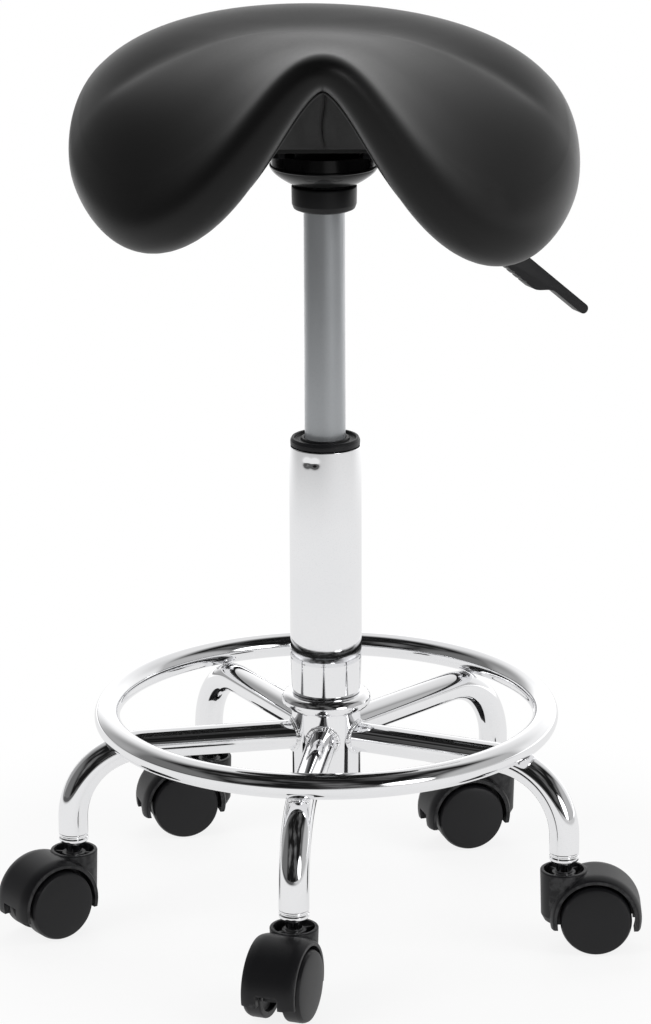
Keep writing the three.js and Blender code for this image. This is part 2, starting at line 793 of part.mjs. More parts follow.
// A flat moulded grip: deep where the hand pulls, with a step down to a thin tip
function leverHandle() {
  const { length, depth, tipDepth, stepAt, stepLength, width, bevel, rodDepth } = HANDLE;
  const top = LEVER.radius + FIT + bevel;
  const tipRound = tipDepth / 2;
  const shape = new THREE.Shape();
  shape.moveTo(0, top - bevel);
  shape.lineTo(0, top - depth + bevel);
  shape.lineTo(bevel, top - depth);
  shape.lineTo(stepAt, top - depth);
  shape.bezierCurveTo(
    stepAt + stepLength / 2, top - depth,
    stepAt + stepLength / 2, top - tipDepth,
    stepAt + stepLength, top - tipDepth,
  );
  shape.lineTo(length - tipRound, top - tipDepth);
  shape.absarc(length - tipRound, top - tipRound, tipRound, -Math.PI / 2, Math.PI / 2);
  shape.lineTo(bevel, top);
  const body = new THREE.ExtrudeGeometry(shape, {
    depth: width - 2 * bevel,
    bevelThickness: bevel,
    bevelSize: bevel,
    bevelOffset: -bevel,
    bevelSegments: 1,
    curveSegments: CORNER_STEPS,
  });
  body.translate(0, 0, bevel - width / 2).rotateX(Math.PI / 2);
  const socket = rod(LEVER.radius + FIT, -OVERRUN, rodDepth + FIT, TUBE_SIDES).rotateY(Math.PI / 2);
  const end = leverPath().getPoint(1);
  const handle = cut(body, socket).rotateY(LEVER.fall);
  return handle.translate(end.x - length * Math.cos(LEVER.fall), 0, end.z + length * Math.sin(LEVER.fall));
}

function mountingPlate() {
  const shape = roundedRectangle(PLATE.length, PLATE.width, PLATE.corner);
  for (const [x, y] of screwPlaces()) {
    const hole = circle(SCREW.radius + FIT, TUBE_SIDES).reverse();
    shape.holes.push(new THREE.Path(hole.map((point) => point.add(new THREE.Vector2(x, y)))));
  }
  const plate = new THREE.ExtrudeGeometry(shape, {
    depth: PLATE.height,
    bevelEnabled: false,
    curveSegments: CORNER_STEPS,
  });
  return plate.translate(0, 0, PLATE_Z);
}

function screwPlaces() {
  const x = SCREW.spacingX / 2;
  const y = SCREW.spacingY / 2;
  return [[x, y], [-x, y], [-x, -y], [x, -y]];
}

function flangeScrew() {
  const under = PLATE_Z - FIT;
  const flange = under - SCREW.flangeHeight;
  const { headRadius, headHeight } = SCREW;
  const head = new THREE.CylinderGeometry(headRadius, headRadius, headHeight + WELD, HEXAGON_SIDES);
  head.rotateX(Math.PI / 2).translate(0, 0, flange - headHeight / 2);
  const shank = turned(
    [
      [0, flange],
      [SCREW.flangeRadius, flange],
      [SCREW.flangeRadius, under],
      [SCREW.radius, under],
      [SCREW.radius, under + SCREW.length],
      [0, under + SCREW.length],
    ],
    TUBE_SIDES,
  );
  return join(shank, head);
}

// Saddle

const NUDGE_SHARE = 0.001; // between the points that a normal is worked out from
const SADDLE_HEIGHTS = [SADDLE.pommel, SADDLE.frontDip, SADDLE.middle, SADDLE.cantle, SADDLE.tail];

function smooth(share) {
  const t = THREE.MathUtils.clamp(share, 0, 1);
  return t * t * (3 - 2 * t);
}

// Height of the ridge line from front (along = -1) to back (1): a curve through the five heights
function ridgeHeight(along) {
  const heights = SADDLE_HEIGHTS;
  const last = heights.length - 1;
  const place = THREE.MathUtils.clamp(((along + 1) / 2) * last, 0, last - WELD);
  const i = Math.floor(place);
  const t = place - i;
  const b = heights[i];
  const c = heights[i + 1];
  const a = i > 0 ? heights[i - 1] : 2 * b - c;
  const d = i + 2 <= last ? heights[i + 2] : 2 * c - b;
  const cubic = (3 * b - a - 3 * c + d) * t ** 3 + (2 * a - 5 * b + 4 * c - d) * t ** 2;
  return (cubic + (c - a) * t + 2 * b) / 2;
}

// The middle surface of the saddle; across and along are shares of its half width and half length
function saddleMiddle(across, along) {
  const { halfWidth, halfLength, forward, frontSlopeShare, rearSlopeShare, frontCrown, rearCrown } = SADDLE;
  const narrowing = SADDLE.frontNarrowingShare * Math.max((1 - along) / 2, 0) ** SADDLE.frontNarrowingPower;
  const x = halfWidth * across * (1 - narrowing);
  const y = halfLength * along - forward;
  const back = smooth((along + 1) / 2 / SADDLE.fadeShare);
  const slope = THREE.MathUtils.lerp(frontSlopeShare, rearSlopeShare, back);
  const crown = THREE.MathUtils.lerp(frontCrown, rearCrown, back);
  const fall = slope * (Math.hypot(x, crown) - crown);
  const flap = SADDLE.flapDrop * Math.abs(across) ** SADDLE.flapPower + SADDLE.flapLean * across;
  return new THREE.Vector3(x, y, PLATE_TOP + ridgeHeight(along) - fall - flap);
}

function saddleOutward(across, along) {
  const step = NUDGE_SHARE;
  const right = saddleMiddle(across + step, along).sub(saddleMiddle(across - step, along));
  const behind = saddleMiddle(across, along + step).sub(saddleMiddle(across, along - step));
  return right.cross(behind).normalize();
}

// Half the padding's thickness: thin at the front edge, fat on the flaps, and rounded off at the rim
function padThickness(share, angle) {
  const { crownHeight, frontEdge, flapEdge, backEdge, frontEdgePower, backEdgePower, edgePower } = SADDLE;
  const along = -Math.cos(angle);
  const end = along < 0 ? frontEdge : backEdge;
  const power = along < 0 ? frontEdgePower : backEdgePower;
  const edge = THREE.MathUtils.lerp(flapEdge, end, Math.abs(along) ** power);
  const body = THREE.MathUtils.lerp(crownHeight, edge, smooth(share));
  return body * Math.sqrt(Math.max(1 - share ** edgePower, 0));
}

function saddlePoint(share, angle, lift) {
  const across = share * Math.sin(angle);
  const along = -share * Math.cos(angle);
  return saddleMiddle(across, along).addScaledVector(saddleOutward(across, along), lift);
}

// A closed skin over rings of points, from the top middle out to the rim and back in underneath.
// Each ring is a function of the angle; open skins close on a hole instead of on two poles.
// A face is always split from its inner corner at j to its outer corner at k, so that skins laid off
// from one surface keep their distance.
function ringSkin(rings, poles) {
  const count = SADDLE.spokes;
  const angles = Array.from({ length: count }, (_, j) => (2 * Math.PI * j) / count);
  const points = rings.flatMap((ring) => angles.map(ring));
  const faces = [];
  const strips = poles ? rings.length - 1 : rings.length;
  for (let i = 0; i < strips; i += 1) {
    const here = i * count;
    const next = ((i + 1) % rings.length) * count;
    const outward = points[next].y < points[here].y;
    for (let j = 0; j < count; j += 1) {
      const k = (j + 1) % count;
      if (outward) faces.push(here + j, next + j, next + k, here + j, next + k, here + k);
      else faces.push(here + j, next + j, here + k, here + k, next + j, next + k);
    }
  }
  if (poles) {
    const top = points.push(poles.top) - 1;
    const bottom = points.push(poles.bottom) - 1;
    const lastRing = (rings.length - 1) * count;
    for (let j = 0; j < count; j += 1) {
      const k = (j + 1) % count;
      faces.push(top, j, k, bottom, lastRing + k, lastRing + j);
    }
  }
  const geometry = new THREE.BufferGeometry().setFromPoints(points);
  geometry.setIndex(faces);
  geometry.computeVertexNormals();
  return geometry;
}

const PAN_RING_SHARES = [0.24, 0.46, 0.66, PAN.edgeShare];
const OVER_RING_SHARES = [0.2, 0.37, 0.54, 0.69, 0.81, 0.9, 0.96, 0.99, 1];
const UNDER_RING_SHARES = [0.99, 0.95, PAN.recessShare];

function seatCushion() {
  const insideShares = [PAN.recessShare, ...[...PAN_RING_SHARES].reverse()];
  const skin = (share, side) => (angle) => saddlePoint(share, angle, side * padThickness(share, angle));
  const over = OVER_RING_SHARES.map((share) => skin(share, 1));
  const under = UNDER_RING_SHARES.map((share) => skin(share, -1));
  const inside = insideShares.map((share) => (angle) => saddlePoint(share, angle, FIT));
  return ringSkin([...over, ...under, ...inside], {
    top: saddlePoint(0, 0, padThickness(0, 0)),
    bottom: saddlePoint(0, 0, FIT),
  });
}

function seatShell() {
  const upper = PAN_RING_SHARES.map((share) => (angle) => saddlePoint(share, angle, 0));
  const lower = [...PAN_RING_SHARES].reverse();
  const under = lower.map((share) => (angle) => saddlePoint(share, angle, -PAN.thickness));
  return ringSkin([...upper, ...under], {
    top: saddlePoint(0, 0, 0),
    bottom: saddlePoint(0, 0, -PAN.thickness),
  });
}

// Plywood block between the pan and the mounting plate, hollowed on top to the pan's curve
function mountingBlock() {
  const low = PLATE_TOP + FIT;
  const under = -PAN.thickness - FIT;
  const tall = SADDLE.pommel + BLOCK.headroom;
  const blank = new THREE.ExtrudeGeometry(roundedRectangle(BLOCK.length, BLOCK.width, BLOCK.corner), {
    depth: tall,
    bevelEnabled: false,
    curveSegments: CORNER_STEPS,
  });
  blank.translate(0, 0, low);
  const roofZ = low + tall + OVERRUN;
  const shares = PAN_RING_SHARES.slice(0, -1);
  const floor = [...shares].reverse().map((share) => (angle) => saddlePoint(share, angle, under));
  const roof = shares.map((share) => (angle) => saddlePoint(share, angle, under).setZ(roofZ));
  const overPan = ringSkin([...roof, ...floor], {
    top: saddlePoint(0, 0, under).setZ(roofZ),
    bottom: saddlePoint(0, 0, under),
  });
  const depth = PLATE_Z - FIT + SCREW.length + FIT;
  const drill = ([x, y]) => rod(SCREW.radius + FIT, low - OVERRUN, depth, TUBE_SIDES).translate(x, y, 0);
  return cut(blank, overPan, ...screwPlaces().map(drill));
}

// A ring of points round the column: an ellipse squared up towards a rectangle
function squareRing(halfX, halfY, z) {
  const power = COVER.squareness;
  return (angle) => {
    const x = Math.sin(angle);
    const y = -Math.cos(angle);
    const radius = (Math.abs(x / halfX) ** power + Math.abs(y / halfY) ** power) ** (-1 / power);
    return new THREE.Vector3(x * radius, y * radius, z);
  };
}

// The thin sheet fixed inside the rim, drawn straight down to the plate and held under it.
// It creases along the front, where the rim arches up.
function undersideCover() {
  const skin = (lift) => {
    const z = PLATE_TOP + FIT + COVER.thickness + lift;
    const { openingRoom, plateRoom } = COVER;
    const opening = squareRing(BLOCK.length / 2 + openingRoom, BLOCK.width / 2 + openingRoom, z);
    const held = squareRing(PLATE.length / 2 + plateRoom, PLATE.width / 2 + plateRoom, z);
    const rim = (angle) => saddlePoint(PAN.edgeShare, angle, lift - PAN.thickness - FIT);
    const halfway = (angle) => held(angle).lerp(rim(angle), COVER.halfwayShare);
    return [opening, held, halfway, rim];
  };
  return ringSkin([...skin(0), ...skin(-COVER.thickness).reverse()], null);
}

// Assembly

const stool = new THREE.Group();

TRAILS.forEach((place, i) => {
  const angle = LEG.turn + (i * 2 * Math.PI) / LEG.count;
  stool.add(caster(place, angle));
  const tube = named(`leg_${place.place}`, leg(), "chrome");
  tube.rotation.z = facing(angle);
  stool.add(tube);
});

stool.add(
  named("foot_ring", footRing(), "chrome"),
  named("hub", hub(), "chrome"),
  named("outer_column", outerColumn(), "chrome"),
  named("column_bush", columnBush(), "blackNylon"),
  ...bearingStack(),
  named("retaining_clip", retainingClip(), "zincSteel"),
  named("piston_rod", pistonRod(), "satinSteel"),
  named("gas_cylinder", gasCylinder(), "satinSteel"),
  named("valve_pin", rod(VALVE_PIN.radius, VALVE_TOP - VALVE_PIN.length, VALVE_TOP), "zincSteel"),
  named("socket_collar", socketCollar(), "blackNylon"),
  named("mechanism_bowl", mechanismBowl(), "glossBlack"),
  named("taper_socket", taperSocket(), "blackPaint"),
  named("mounting_plate", mountingPlate(), "blackPaint"),
);

const mechanism = new THREE.Group();
const pivotPin = alongY(rod(LEVER.pinRadius, -BRACKET.width / 2, BRACKET.width / 2, TUBE_SIDES));
mechanism.add(
  named("lever_bracket", leverBracket(), "blackPaint"),
  named("lever_pivot_pin", pivotPin.translate(LEVER.pivot, 0, LEVER_Z), "zincSteel"),
  named("lever_rod", leverRod(), "blackPaint"),
  named("lever_handle", leverHandle(), "blackNylon"),
);
mechanism.rotation.z = LEVER.azimuth;
stool.add(mechanism);

screwPlaces().forEach(([x, y], i) => {
  const screw = named(`flange_screw_${i + 1}`, flangeScrew(), "zincSteel");
  screw.position.set(x, y, 0);
  stool.add(screw);
});

stool.add(
  named("mounting_block", mountingBlock(), "plywood"),
  named("underside_cover", undersideCover(), "blackCloth"),
  named("seat_shell", seatShell(), "panPlastic"),
  named("seat_cushion", seatCushion(), "leatherette"),
);

export default stool;
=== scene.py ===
"""Saddle stool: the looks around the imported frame.

Everything is in metres in the frame of the part: +Z up, the origin on the floor under the column,
the front of the seat towards -Y. Sizes in the classes below are written in millimetres and scaled by MM.
"""
import json
import logging
import math
from dataclasses import dataclass, field
from enum import Enum
from typing import Callable, Optional, Sequence

import bmesh
import bpy
import numpy as np
from mathutils import Matrix, Vector
from mathutils.bvhtree import BVHTree
from mathutils.kdtree import KDTree


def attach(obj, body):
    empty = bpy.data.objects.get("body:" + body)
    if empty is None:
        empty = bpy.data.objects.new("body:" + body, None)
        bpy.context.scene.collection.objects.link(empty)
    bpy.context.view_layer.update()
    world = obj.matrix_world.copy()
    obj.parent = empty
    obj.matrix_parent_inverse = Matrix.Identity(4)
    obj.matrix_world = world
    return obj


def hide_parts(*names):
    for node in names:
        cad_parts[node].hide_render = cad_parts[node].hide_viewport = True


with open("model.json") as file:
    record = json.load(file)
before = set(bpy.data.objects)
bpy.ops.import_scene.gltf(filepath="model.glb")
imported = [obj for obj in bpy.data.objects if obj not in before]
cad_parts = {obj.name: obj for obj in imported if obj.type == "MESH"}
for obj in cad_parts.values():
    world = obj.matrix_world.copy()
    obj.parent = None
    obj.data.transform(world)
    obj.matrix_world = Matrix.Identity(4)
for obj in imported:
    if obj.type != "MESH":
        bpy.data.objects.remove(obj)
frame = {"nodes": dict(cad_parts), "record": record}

LOG = logging.getLogger("saddle_stool")
MM = 0.001
PLACES = ("front", "front_right", "rear_right", "rear_left", "front_left")

Point = tuple[float, float]
Material = bpy.types.Material
Object = bpy.types.Object


class Slot(Enum):
    """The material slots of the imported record."""

    CHROME = "chrome"
    SATIN_STEEL = "satin_steel"
    ZINC_STEEL = "zinc_steel"
    BLACK_PAINT = "black_paint"
    BLACK_NYLON = "black_nylon"
    GLOSS_BLACK = "gloss_black"
    LEATHERETTE = "leatherette"
    BLACK_CLOTH = "black_cloth"
    RUBBER = "rubber"
    PLYWOOD = "plywood"
    PAN_PLASTIC = "pan_plastic"


class Carve(Enum):
    """What a boolean does with its tools."""

    ADD = "UNION"
    CUT = "DIFFERENCE"


# Node trees


class Sheet:
    """A node tree with short calls to fill it.

    Args:
        tree: The shader or geometry tree that gets the nodes.
    """

    def __init__(self, tree: bpy.types.NodeTree) -> None:
        """Keeps the tree."""
        self.tree = tree

    def add(self, kind: str, inputs: Optional[dict] = None, **settings) -> bpy.types.Node:
        """Adds a node.

        Args:
            kind: Blender's name of the node type.
            inputs: Values or output sockets by the name or the number of the input.
            settings: Properties of the node.

        Returns:
            The new node.
        """
        node = self.tree.nodes.new(kind)
        for key, value in settings.items():
            setattr(node, key, value)
        for key, value in (inputs or {}).items():
            socket = node.inputs[key]
            if isinstance(value, bpy.types.NodeSocket):
                self.tree.links.new(value, socket)
            else:
                socket.default_value = value
        return node

    def math(self, operation: str, first, second=0.0, clamp: bool = False) -> bpy.types.NodeSocket:
        """Adds a Math node on two values or sockets and returns its result."""
        node = self.add("ShaderNodeMath", {0: first, 1: second}, operation=operation, use_clamp=clamp)
        return node.outputs[0]

    def times(self, first, second, clamp: bool = False) -> bpy.types.NodeSocket:
        """Multiplies two values or sockets."""
        return self.math("MULTIPLY", first, second, clamp)

    def plus(self, first, second) -> bpy.types.NodeSocket:
        """Adds two values or sockets."""
        return self.math("ADD", first, second)

    def less(self, first, second) -> bpy.types.NodeSocket:
        """Takes the second value or socket from the first."""
        return self.math("SUBTRACT", first, second)

    def most(self, first, *others) -> bpy.types.NodeSocket:
        """Returns the largest of some values or sockets."""
        for other in others:
            first = self.math("MAXIMUM", first, other)
        return first

    def scaled(self, vector, by) -> bpy.types.NodeSocket:
        """Multiplies a vector, axis by axis."""
        return self.add("ShaderNodeVectorMath", {0: vector, 1: by}, operation="MULTIPLY").outputs[0]

    def place(self) -> bpy.types.NodeSocket:
        """Returns the Object coordinates."""
        return self.add("ShaderNodeTexCoord").outputs["Object"]

    def link(self, value: bpy.types.NodeSocket, node: bpy.types.Node, label) -> None:
        """Leads a socket into a node's input."""
        self.tree.links.new(value, node.inputs[label])

    def give(self, result: bpy.types.Node, **values) -> bpy.types.NodeTree:
        """Ends a group: leads sockets into its outputs and returns the tree."""
        for label, value in values.items():
            self.link(value, result, label)
        return self.tree

    def random(self, low, high, seed) -> bpy.types.NodeSocket:
        """Adds a Random Value between two numbers or sockets and returns it."""
        node = self.add("FunctionNodeRandomValue", {2: low, 3: high, "Seed": seed}, data_type="FLOAT")
        return node.outputs[1]

    def remap(self, value, low: float, high: float, to_low: float = 0.0, to_high: float = 1.0):
        """Adds a smooth Map Range on a socket and returns its result."""
        node = self.add(
            "ShaderNodeMapRange",
            {"Value": value, "From Min": low, "From Max": high, "To Min": to_low, "To Max": to_high},
            interpolation_type="SMOOTHSTEP",
        )
        return node.outputs["Result"]

    def noise(self, vector, scale, detail: float = 3.0, roughness: float = 0.5):
        """Adds a Noise Texture and returns its value."""
        node = self.add(
            "ShaderNodeTexNoise",
            {"Vector": vector, "Scale": scale, "Detail": detail, "Roughness": roughness},
        )
        return node.outputs["Fac"]

    def mix(self, factor, first, second) -> bpy.types.NodeSocket:
        """Adds a colour Mix node and returns its colour."""
        return self.add("ShaderNodeMix", {0: factor, 6: first, 7: second}, data_type="RGBA").outputs[2]

    def blend(self, share, first, second) -> bpy.types.NodeSocket:
        """Adds a Mix Shader, which takes the second shader by a share, and returns its result."""
        return self.add("ShaderNodeMixShader", {0: share, 1: first, 2: second}).outputs[0]


def group_tree(name: str, kind: str, inputs: Sequence[tuple], outputs: Sequence[tuple]) -> tuple:
    """Makes a node group with named sockets.

    Args:
        name: The group's name.
        kind: ShaderNodeTree or GeometryNodeTree.
        inputs: Name, socket type and, where it has one, default value of each input.
        outputs: Name and socket type of each output.

    Returns:
        The tree's Sheet, the sockets of its inputs and its group output node.
    """
    tree = bpy.data.node_groups.new(name, kind)
    for label, socket_type, *default in inputs:
        socket = tree.interface.new_socket(label, in_out="INPUT", socket_type=socket_type)
        if default:
            socket.default_value = default[0]
    for label, socket_type in outputs:
        tree.interface.new_socket(label, in_out="OUTPUT", socket_type=socket_type)
    sheet = Sheet(tree)
    return sheet, sheet.add("NodeGroupInput").outputs, sheet.add("NodeGroupOutput")


FLOAT, COLOUR = "NodeSocketFloat", "NodeSocketColor"
WHOLE, SHAPE, FINISH = "NodeSocketInt", "NodeSocketGeometry", "NodeSocketMaterial"


def shader_group(name: str, inputs: dict, outputs: Sequence[str], colours: Sequence[str] = ()) -> tuple:
    """Starts a shader group with number inputs, after colour inputs where it has some.

    Args:
        name: The group's name.
        inputs: Names and default values of its number inputs.
        outputs: Names of its outputs; the one named Color is a colour.
        colours: Names of its colour inputs.

    Returns:
        What group_tree returns.
    """
    grey = (0.5, 0.5, 0.5, 1.0)
    given = [(label, COLOUR, grey) for label in colours]
    given += [(label, FLOAT, value) for label, value in inputs.items()]
    made = [(label, COLOUR if label == "Color" else FLOAT) for label in outputs]
    return group_tree(name, "ShaderNodeTree", given, made)


def grain_group() -> bpy.types.NodeTree:
    """Builds the grain group: pebbles with creases between them, and finer pores, as a height."""
    inputs = {"Scale": 900.0, "Creases": 0.5, "Pores": 0.5}
    sheet, given, result = shader_group("fine_grain", inputs, ["Height"])
    where = sheet.place()
    bend = sheet.add("ShaderNodeTexNoise", {"Vector": where, "Scale": 160.0, "Detail": 2.0})
    pushed = sheet.scaled(bend.outputs["Color"], (0.0016, 0.0016, 0.0016))
    vector = sheet.add("ShaderNodeVectorMath", {0: where, 1: pushed}, operation="ADD").outputs[0]
    tiles = {"Vector": vector, "Scale": given["Scale"]}
    cells = sheet.add("ShaderNodeTexVoronoi", tiles, feature="DISTANCE_TO_EDGE")
    creases = sheet.times(sheet.remap(cells.outputs["Distance"], 0.0, 0.32), given["Creases"])
    pores = sheet.noise(vector, sheet.times(given["Scale"], 2.7), 4.0, 0.6)
    return sheet.give(result, Height=sheet.plus(creases, sheet.times(pores, given["Pores"])))


def tone_group() -> bpy.types.NodeTree:
    """Builds the tone group: large soft patches and fine specks mixed between two colours."""
    inputs = {"Patch Scale": 14.0, "Speck Scale": 600.0, "Amount": 0.5}
    sheet, given, result = shader_group("tone_variation", inputs, ["Color", "Mask"], ["Main", "Other"])
    where = sheet.place()
    patches = sheet.remap(sheet.noise(where, given["Patch Scale"], 4.0), 0.35, 0.68)
    specks = sheet.remap(sheet.noise(where, given["Speck Scale"], 2.0), 0.45, 0.75)
    both = sheet.times(sheet.plus(patches, specks), given["Amount"], clamp=True)
    return sheet.give(result, Color=sheet.mix(both, given["Main"], given["Other"]), Mask=both)


def wear_group() -> bpy.types.NodeTree:
    """Builds the wear group: a broken mask along the sharp outer edges of a piece."""
    inputs = {"Start": 0.53, "Breakup": 220.0, "Amount": 0.5}
    sheet, given, result = shader_group("edge_wear", inputs, ["Mask"])
    point = sheet.add("ShaderNodeNewGeometry").outputs["Pointiness"]
    edge = sheet.add("ShaderNodeMapRange", {"Value": point, "From Min": given["Start"], "From Max": 0.62})
    broken = sheet.remap(sheet.noise(sheet.place(), given["Breakup"], 4.0), 0.35, 0.62)
    mask = sheet.times(sheet.times(edge.outputs["Result"], broken), given["Amount"], clamp=True)
    return sheet.give(result, Mask=mask)


def smudge_group() -> bpy.types.NodeTree:
    """Builds the smudge group: a roughness that wipes, haze and hairline scratches change."""
    inputs = {"Clean": 0.05, "Hazy": 0.12, "Scale": 30.0, "Scratches": 0.03}
    sheet, given, result = shader_group("smudges", inputs, ["Roughness", "Height"])
    where = sheet.place()
    haze = sheet.remap(sheet.noise(where, given["Scale"], 5.0, 0.6), 0.42, 0.72)
    hair = sheet.remap(sheet.noise(sheet.scaled(where, (1.0, 1.0, 0.06)), 1800.0, 1.0), 0.66, 0.74)
    rough = sheet.plus(given["Clean"], sheet.times(haze, sheet.less(given["Hazy"], given["Clean"])))
    rough = sheet.plus(rough, sheet.times(hair, given["Scratches"]))
    ripple = sheet.noise(where, sheet.times(given["Scale"], 9.0), 2.0)
    return sheet.give(result, Roughness=rough, Height=ripple)


def cleared(owner: Material | bpy.types.World) -> Sheet:
    """Returns the emptied node tree of a material or world."""
    owner.use_nodes = True
    owner.node_tree.nodes.clear()
    return Sheet(owner.node_tree)


GROUPS: dict[str, bpy.types.NodeTree] = {}


def shared(name: str, maker: Callable[[], bpy.types.NodeTree]) -> bpy.types.NodeTree:
    """Returns a node group, built at its first use."""
    if name not in GROUPS:
        GROUPS[name] = maker()
    return GROUPS[name]


# Finishes

Colour = tuple[float, float, float]


@dataclass(frozen=True)
class Finish:
    """What every finish has: a name, the record's slot, and constants of its shader."""

    name: str
    slot: Slot
    colour: Colour
    other: Colour
    roughness: float
    specular: float = 0.5

    def start(self, patch: float, speck: float, amount: float) -> tuple:
        """Makes the material with its shader, its output and its two-coloured tone.

        Args:
            patch: How small the tone's large patches are.
            speck: How small its specks are.
            amount: How much of the other colour shows.

        Returns:
            The material, the Sheet of its tree, the Principled shader and the tone's group node.
        """
        material = bpy.data.materials.new(self.name)
        sheet = cleared(material)
        shader = sheet.add("ShaderNodeBsdfPrincipled", {"Specular IOR Level": self.specular})
        sheet.add("ShaderNodeOutputMaterial", {"Surface": shader.outputs["BSDF"]})
        tone = self.group(sheet, "tone_variation", tone_group, {
            "Main": (*self.colour, 1.0), "Other": (*self.other, 1.0),
            "Patch Scale": patch, "Speck Scale": speck, "Amount": amount,
        })
        return material, sheet, shader, tone

    def group(self, sheet: Sheet, name: str, maker: Callable, inputs: dict) -> bpy.types.Node:
        """Places a shared group in the material with this finish's own values."""
        return sheet.add("ShaderNodeGroup", inputs, node_tree=shared(name, maker))

    def bump(self, sheet: Sheet, shader: bpy.types.Node, height, distance: float, strength: float) -> None:
        """Feeds a height through a Bump node into the shader's normal."""
        node = sheet.add("ShaderNodeBump", {"Strength": strength, "Distance": distance, "Height": height})
        sheet.link(node.outputs["Normal"], shader, "Normal")

    def rough(self, sheet: Sheet, shader, value, low: float, high: float, span: float) -> None:
        """Lets the roughness rise by a span, about this finish's own, as a value goes from low to high."""
        start = self.roughness - span / 2
        sheet.link(sheet.remap(value, low, high, start, start + span), shader, "Roughness")


@dataclass(frozen=True)
class GrainedFinish(Finish):
    """Leatherette, moulded plastic, paint and rubber: two tones, a grain, and worn edges."""

    grain_scale: float = 900.0
    creases: float = 0.5
    pores: float = 0.5
    depth: float = 0.00008
    strength: float = 0.4
    patch: float = 14.0
    tone_amount: float = 0.35
    wear: float = 0.0
    wear_colour: Colour = (0.2, 0.2, 0.2)
    rough_span: float = 0.08
    coat: float = 0.0
    coat_roughness: float = 0.1

    def build(self) -> Material:
        """Builds the material."""
        material, sheet, shader, tone = self.start(self.patch, self.grain_scale * 0.8, self.tone_amount)
        colour = tone.outputs["Color"]
        if self.wear:
            worn = self.group(sheet, "edge_wear", wear_group, {"Amount": self.wear})
            colour = sheet.mix(worn.outputs["Mask"], colour, (*self.wear_colour, 1.0))
        sheet.link(colour, shader, "Base Color")
        grain = self.group(sheet, "fine_grain", grain_group, {
            "Scale": self.grain_scale, "Creases": self.creases, "Pores": self.pores})
        self.rough(sheet, shader, tone.outputs["Mask"], 0.0, 1.0, self.rough_span)
        shader.inputs["Coat Weight"].default_value = self.coat
        shader.inputs["Coat Roughness"].default_value = self.coat_roughness
        shader.inputs["Sheen Roughness"].default_value = 0.4
        self.bump(sheet, shader, grain.outputs["Height"], self.depth, self.strength)
        return material


@dataclass(frozen=True)
class PlatedFinish(Finish):
    """Chrome, ground steel and zinc: metal whose roughness carries smudges and fine lines."""

    metallic: float = 1.0
    hazy: float = 0.12
    smudge_scale: float = 30.0
    scratches: float = 0.03
    ripple: float = 0.04
    lines: float = 0.0
    patch: float = 20.0
    tone_amount: float = 0.3

    def build(self) -> Material:
        """Builds the material."""
        material, sheet, shader, tone = self.start(self.patch, 900.0, self.tone_amount)
        shader.inputs["Metallic"].default_value = self.metallic
        sheet.link(tone.outputs["Color"], shader, "Base Color")
        smudges = self.group(sheet, "smudges", smudge_group, {
            "Clean": self.roughness, "Hazy": self.hazy, "Scale": self.smudge_scale,
            "Scratches": self.scratches,
        })
        sheet.link(smudges.outputs["Roughness"], shader, "Roughness")
        if self.lines:
            around = sheet.scaled(sheet.place(), (0.02, 0.02, 1.0))
            self.bump(sheet, shader, sheet.noise(around, 5200.0, 2.0), 0.00002, self.lines)
        else:
            self.bump(sheet, shader, smudges.outputs["Height"], 0.0001, self.ripple)
        return material


@dataclass(frozen=True)
class FeltedFinish(Finish):
    """The dust cover's pressed cloth: crossed fibres, fuzz and a little dust."""

    fibre_scale: float = 420.0

    def build(self) -> Material:
        """Builds the material."""
        material, sheet, shader, tone = self.start(18.0, 500.0, 0.5)
        where = sheet.place()
        crossed = sheet.most(*[
            sheet.noise(sheet.scaled(where, stretch), self.fibre_scale * 2, 3.0, 0.65)
            for stretch in ((1.0, 0.16, 0.5), (0.16, 1.0, 0.5), (0.7, 0.6, 0.14))
        ])
        fuzz = sheet.remap(crossed, 0.5, 0.8)
        colour = sheet.mix(fuzz, tone.outputs["Color"], (*[c * 1.9 for c in self.other], 1.0))
        sheet.link(colour, shader, "Base Color")
        self.rough(sheet, shader, crossed, 0.3, 0.8, 0.2)
        self.bump(sheet, shader, crossed, 0.0003, 0.6)
        return material


@dataclass(frozen=True)
class PlyFinish(Finish):
    """Beech plywood: layers across its height, with their grain turned by turns."""

    layer: float = 1.5

    def build(self) -> Material:
        """Builds the material."""
        material, sheet, shader, tone = self.start(25.0, 300.0, 0.5)
        where = sheet.place()
        parts = sheet.add("ShaderNodeSeparateXYZ", {0: where})
        phase = sheet.times(parts.outputs["Z"], math.pi / (self.layer * MM))
        turn = sheet.remap(sheet.math("SINE", phase), -0.2, 0.2)
        first, second = (
            sheet.noise(sheet.scaled(where, stretch), 700.0, 4.0, 0.7)
            for stretch in ((0.05, 1.0, 1.0), (1.0, 0.05, 1.0))
        )
        grain = sheet.plus(first, sheet.times(sheet.less(second, first), turn))
        dark = sheet.mix(0.35, tone.outputs["Color"], (*[c * 0.45 for c in self.colour], 1.0))
        shade = sheet.times(sheet.remap(grain, 0.4, 0.75), sheet.plus(turn, 0.4), clamp=True)
        sheet.link(sheet.mix(shade, tone.outputs["Color"], dark), shader, "Base Color")
        self.rough(sheet, shader, grain, 0.3, 0.8, 0.2)
        self.bump(sheet, shader, grain, 0.0001, 0.4)
        return material


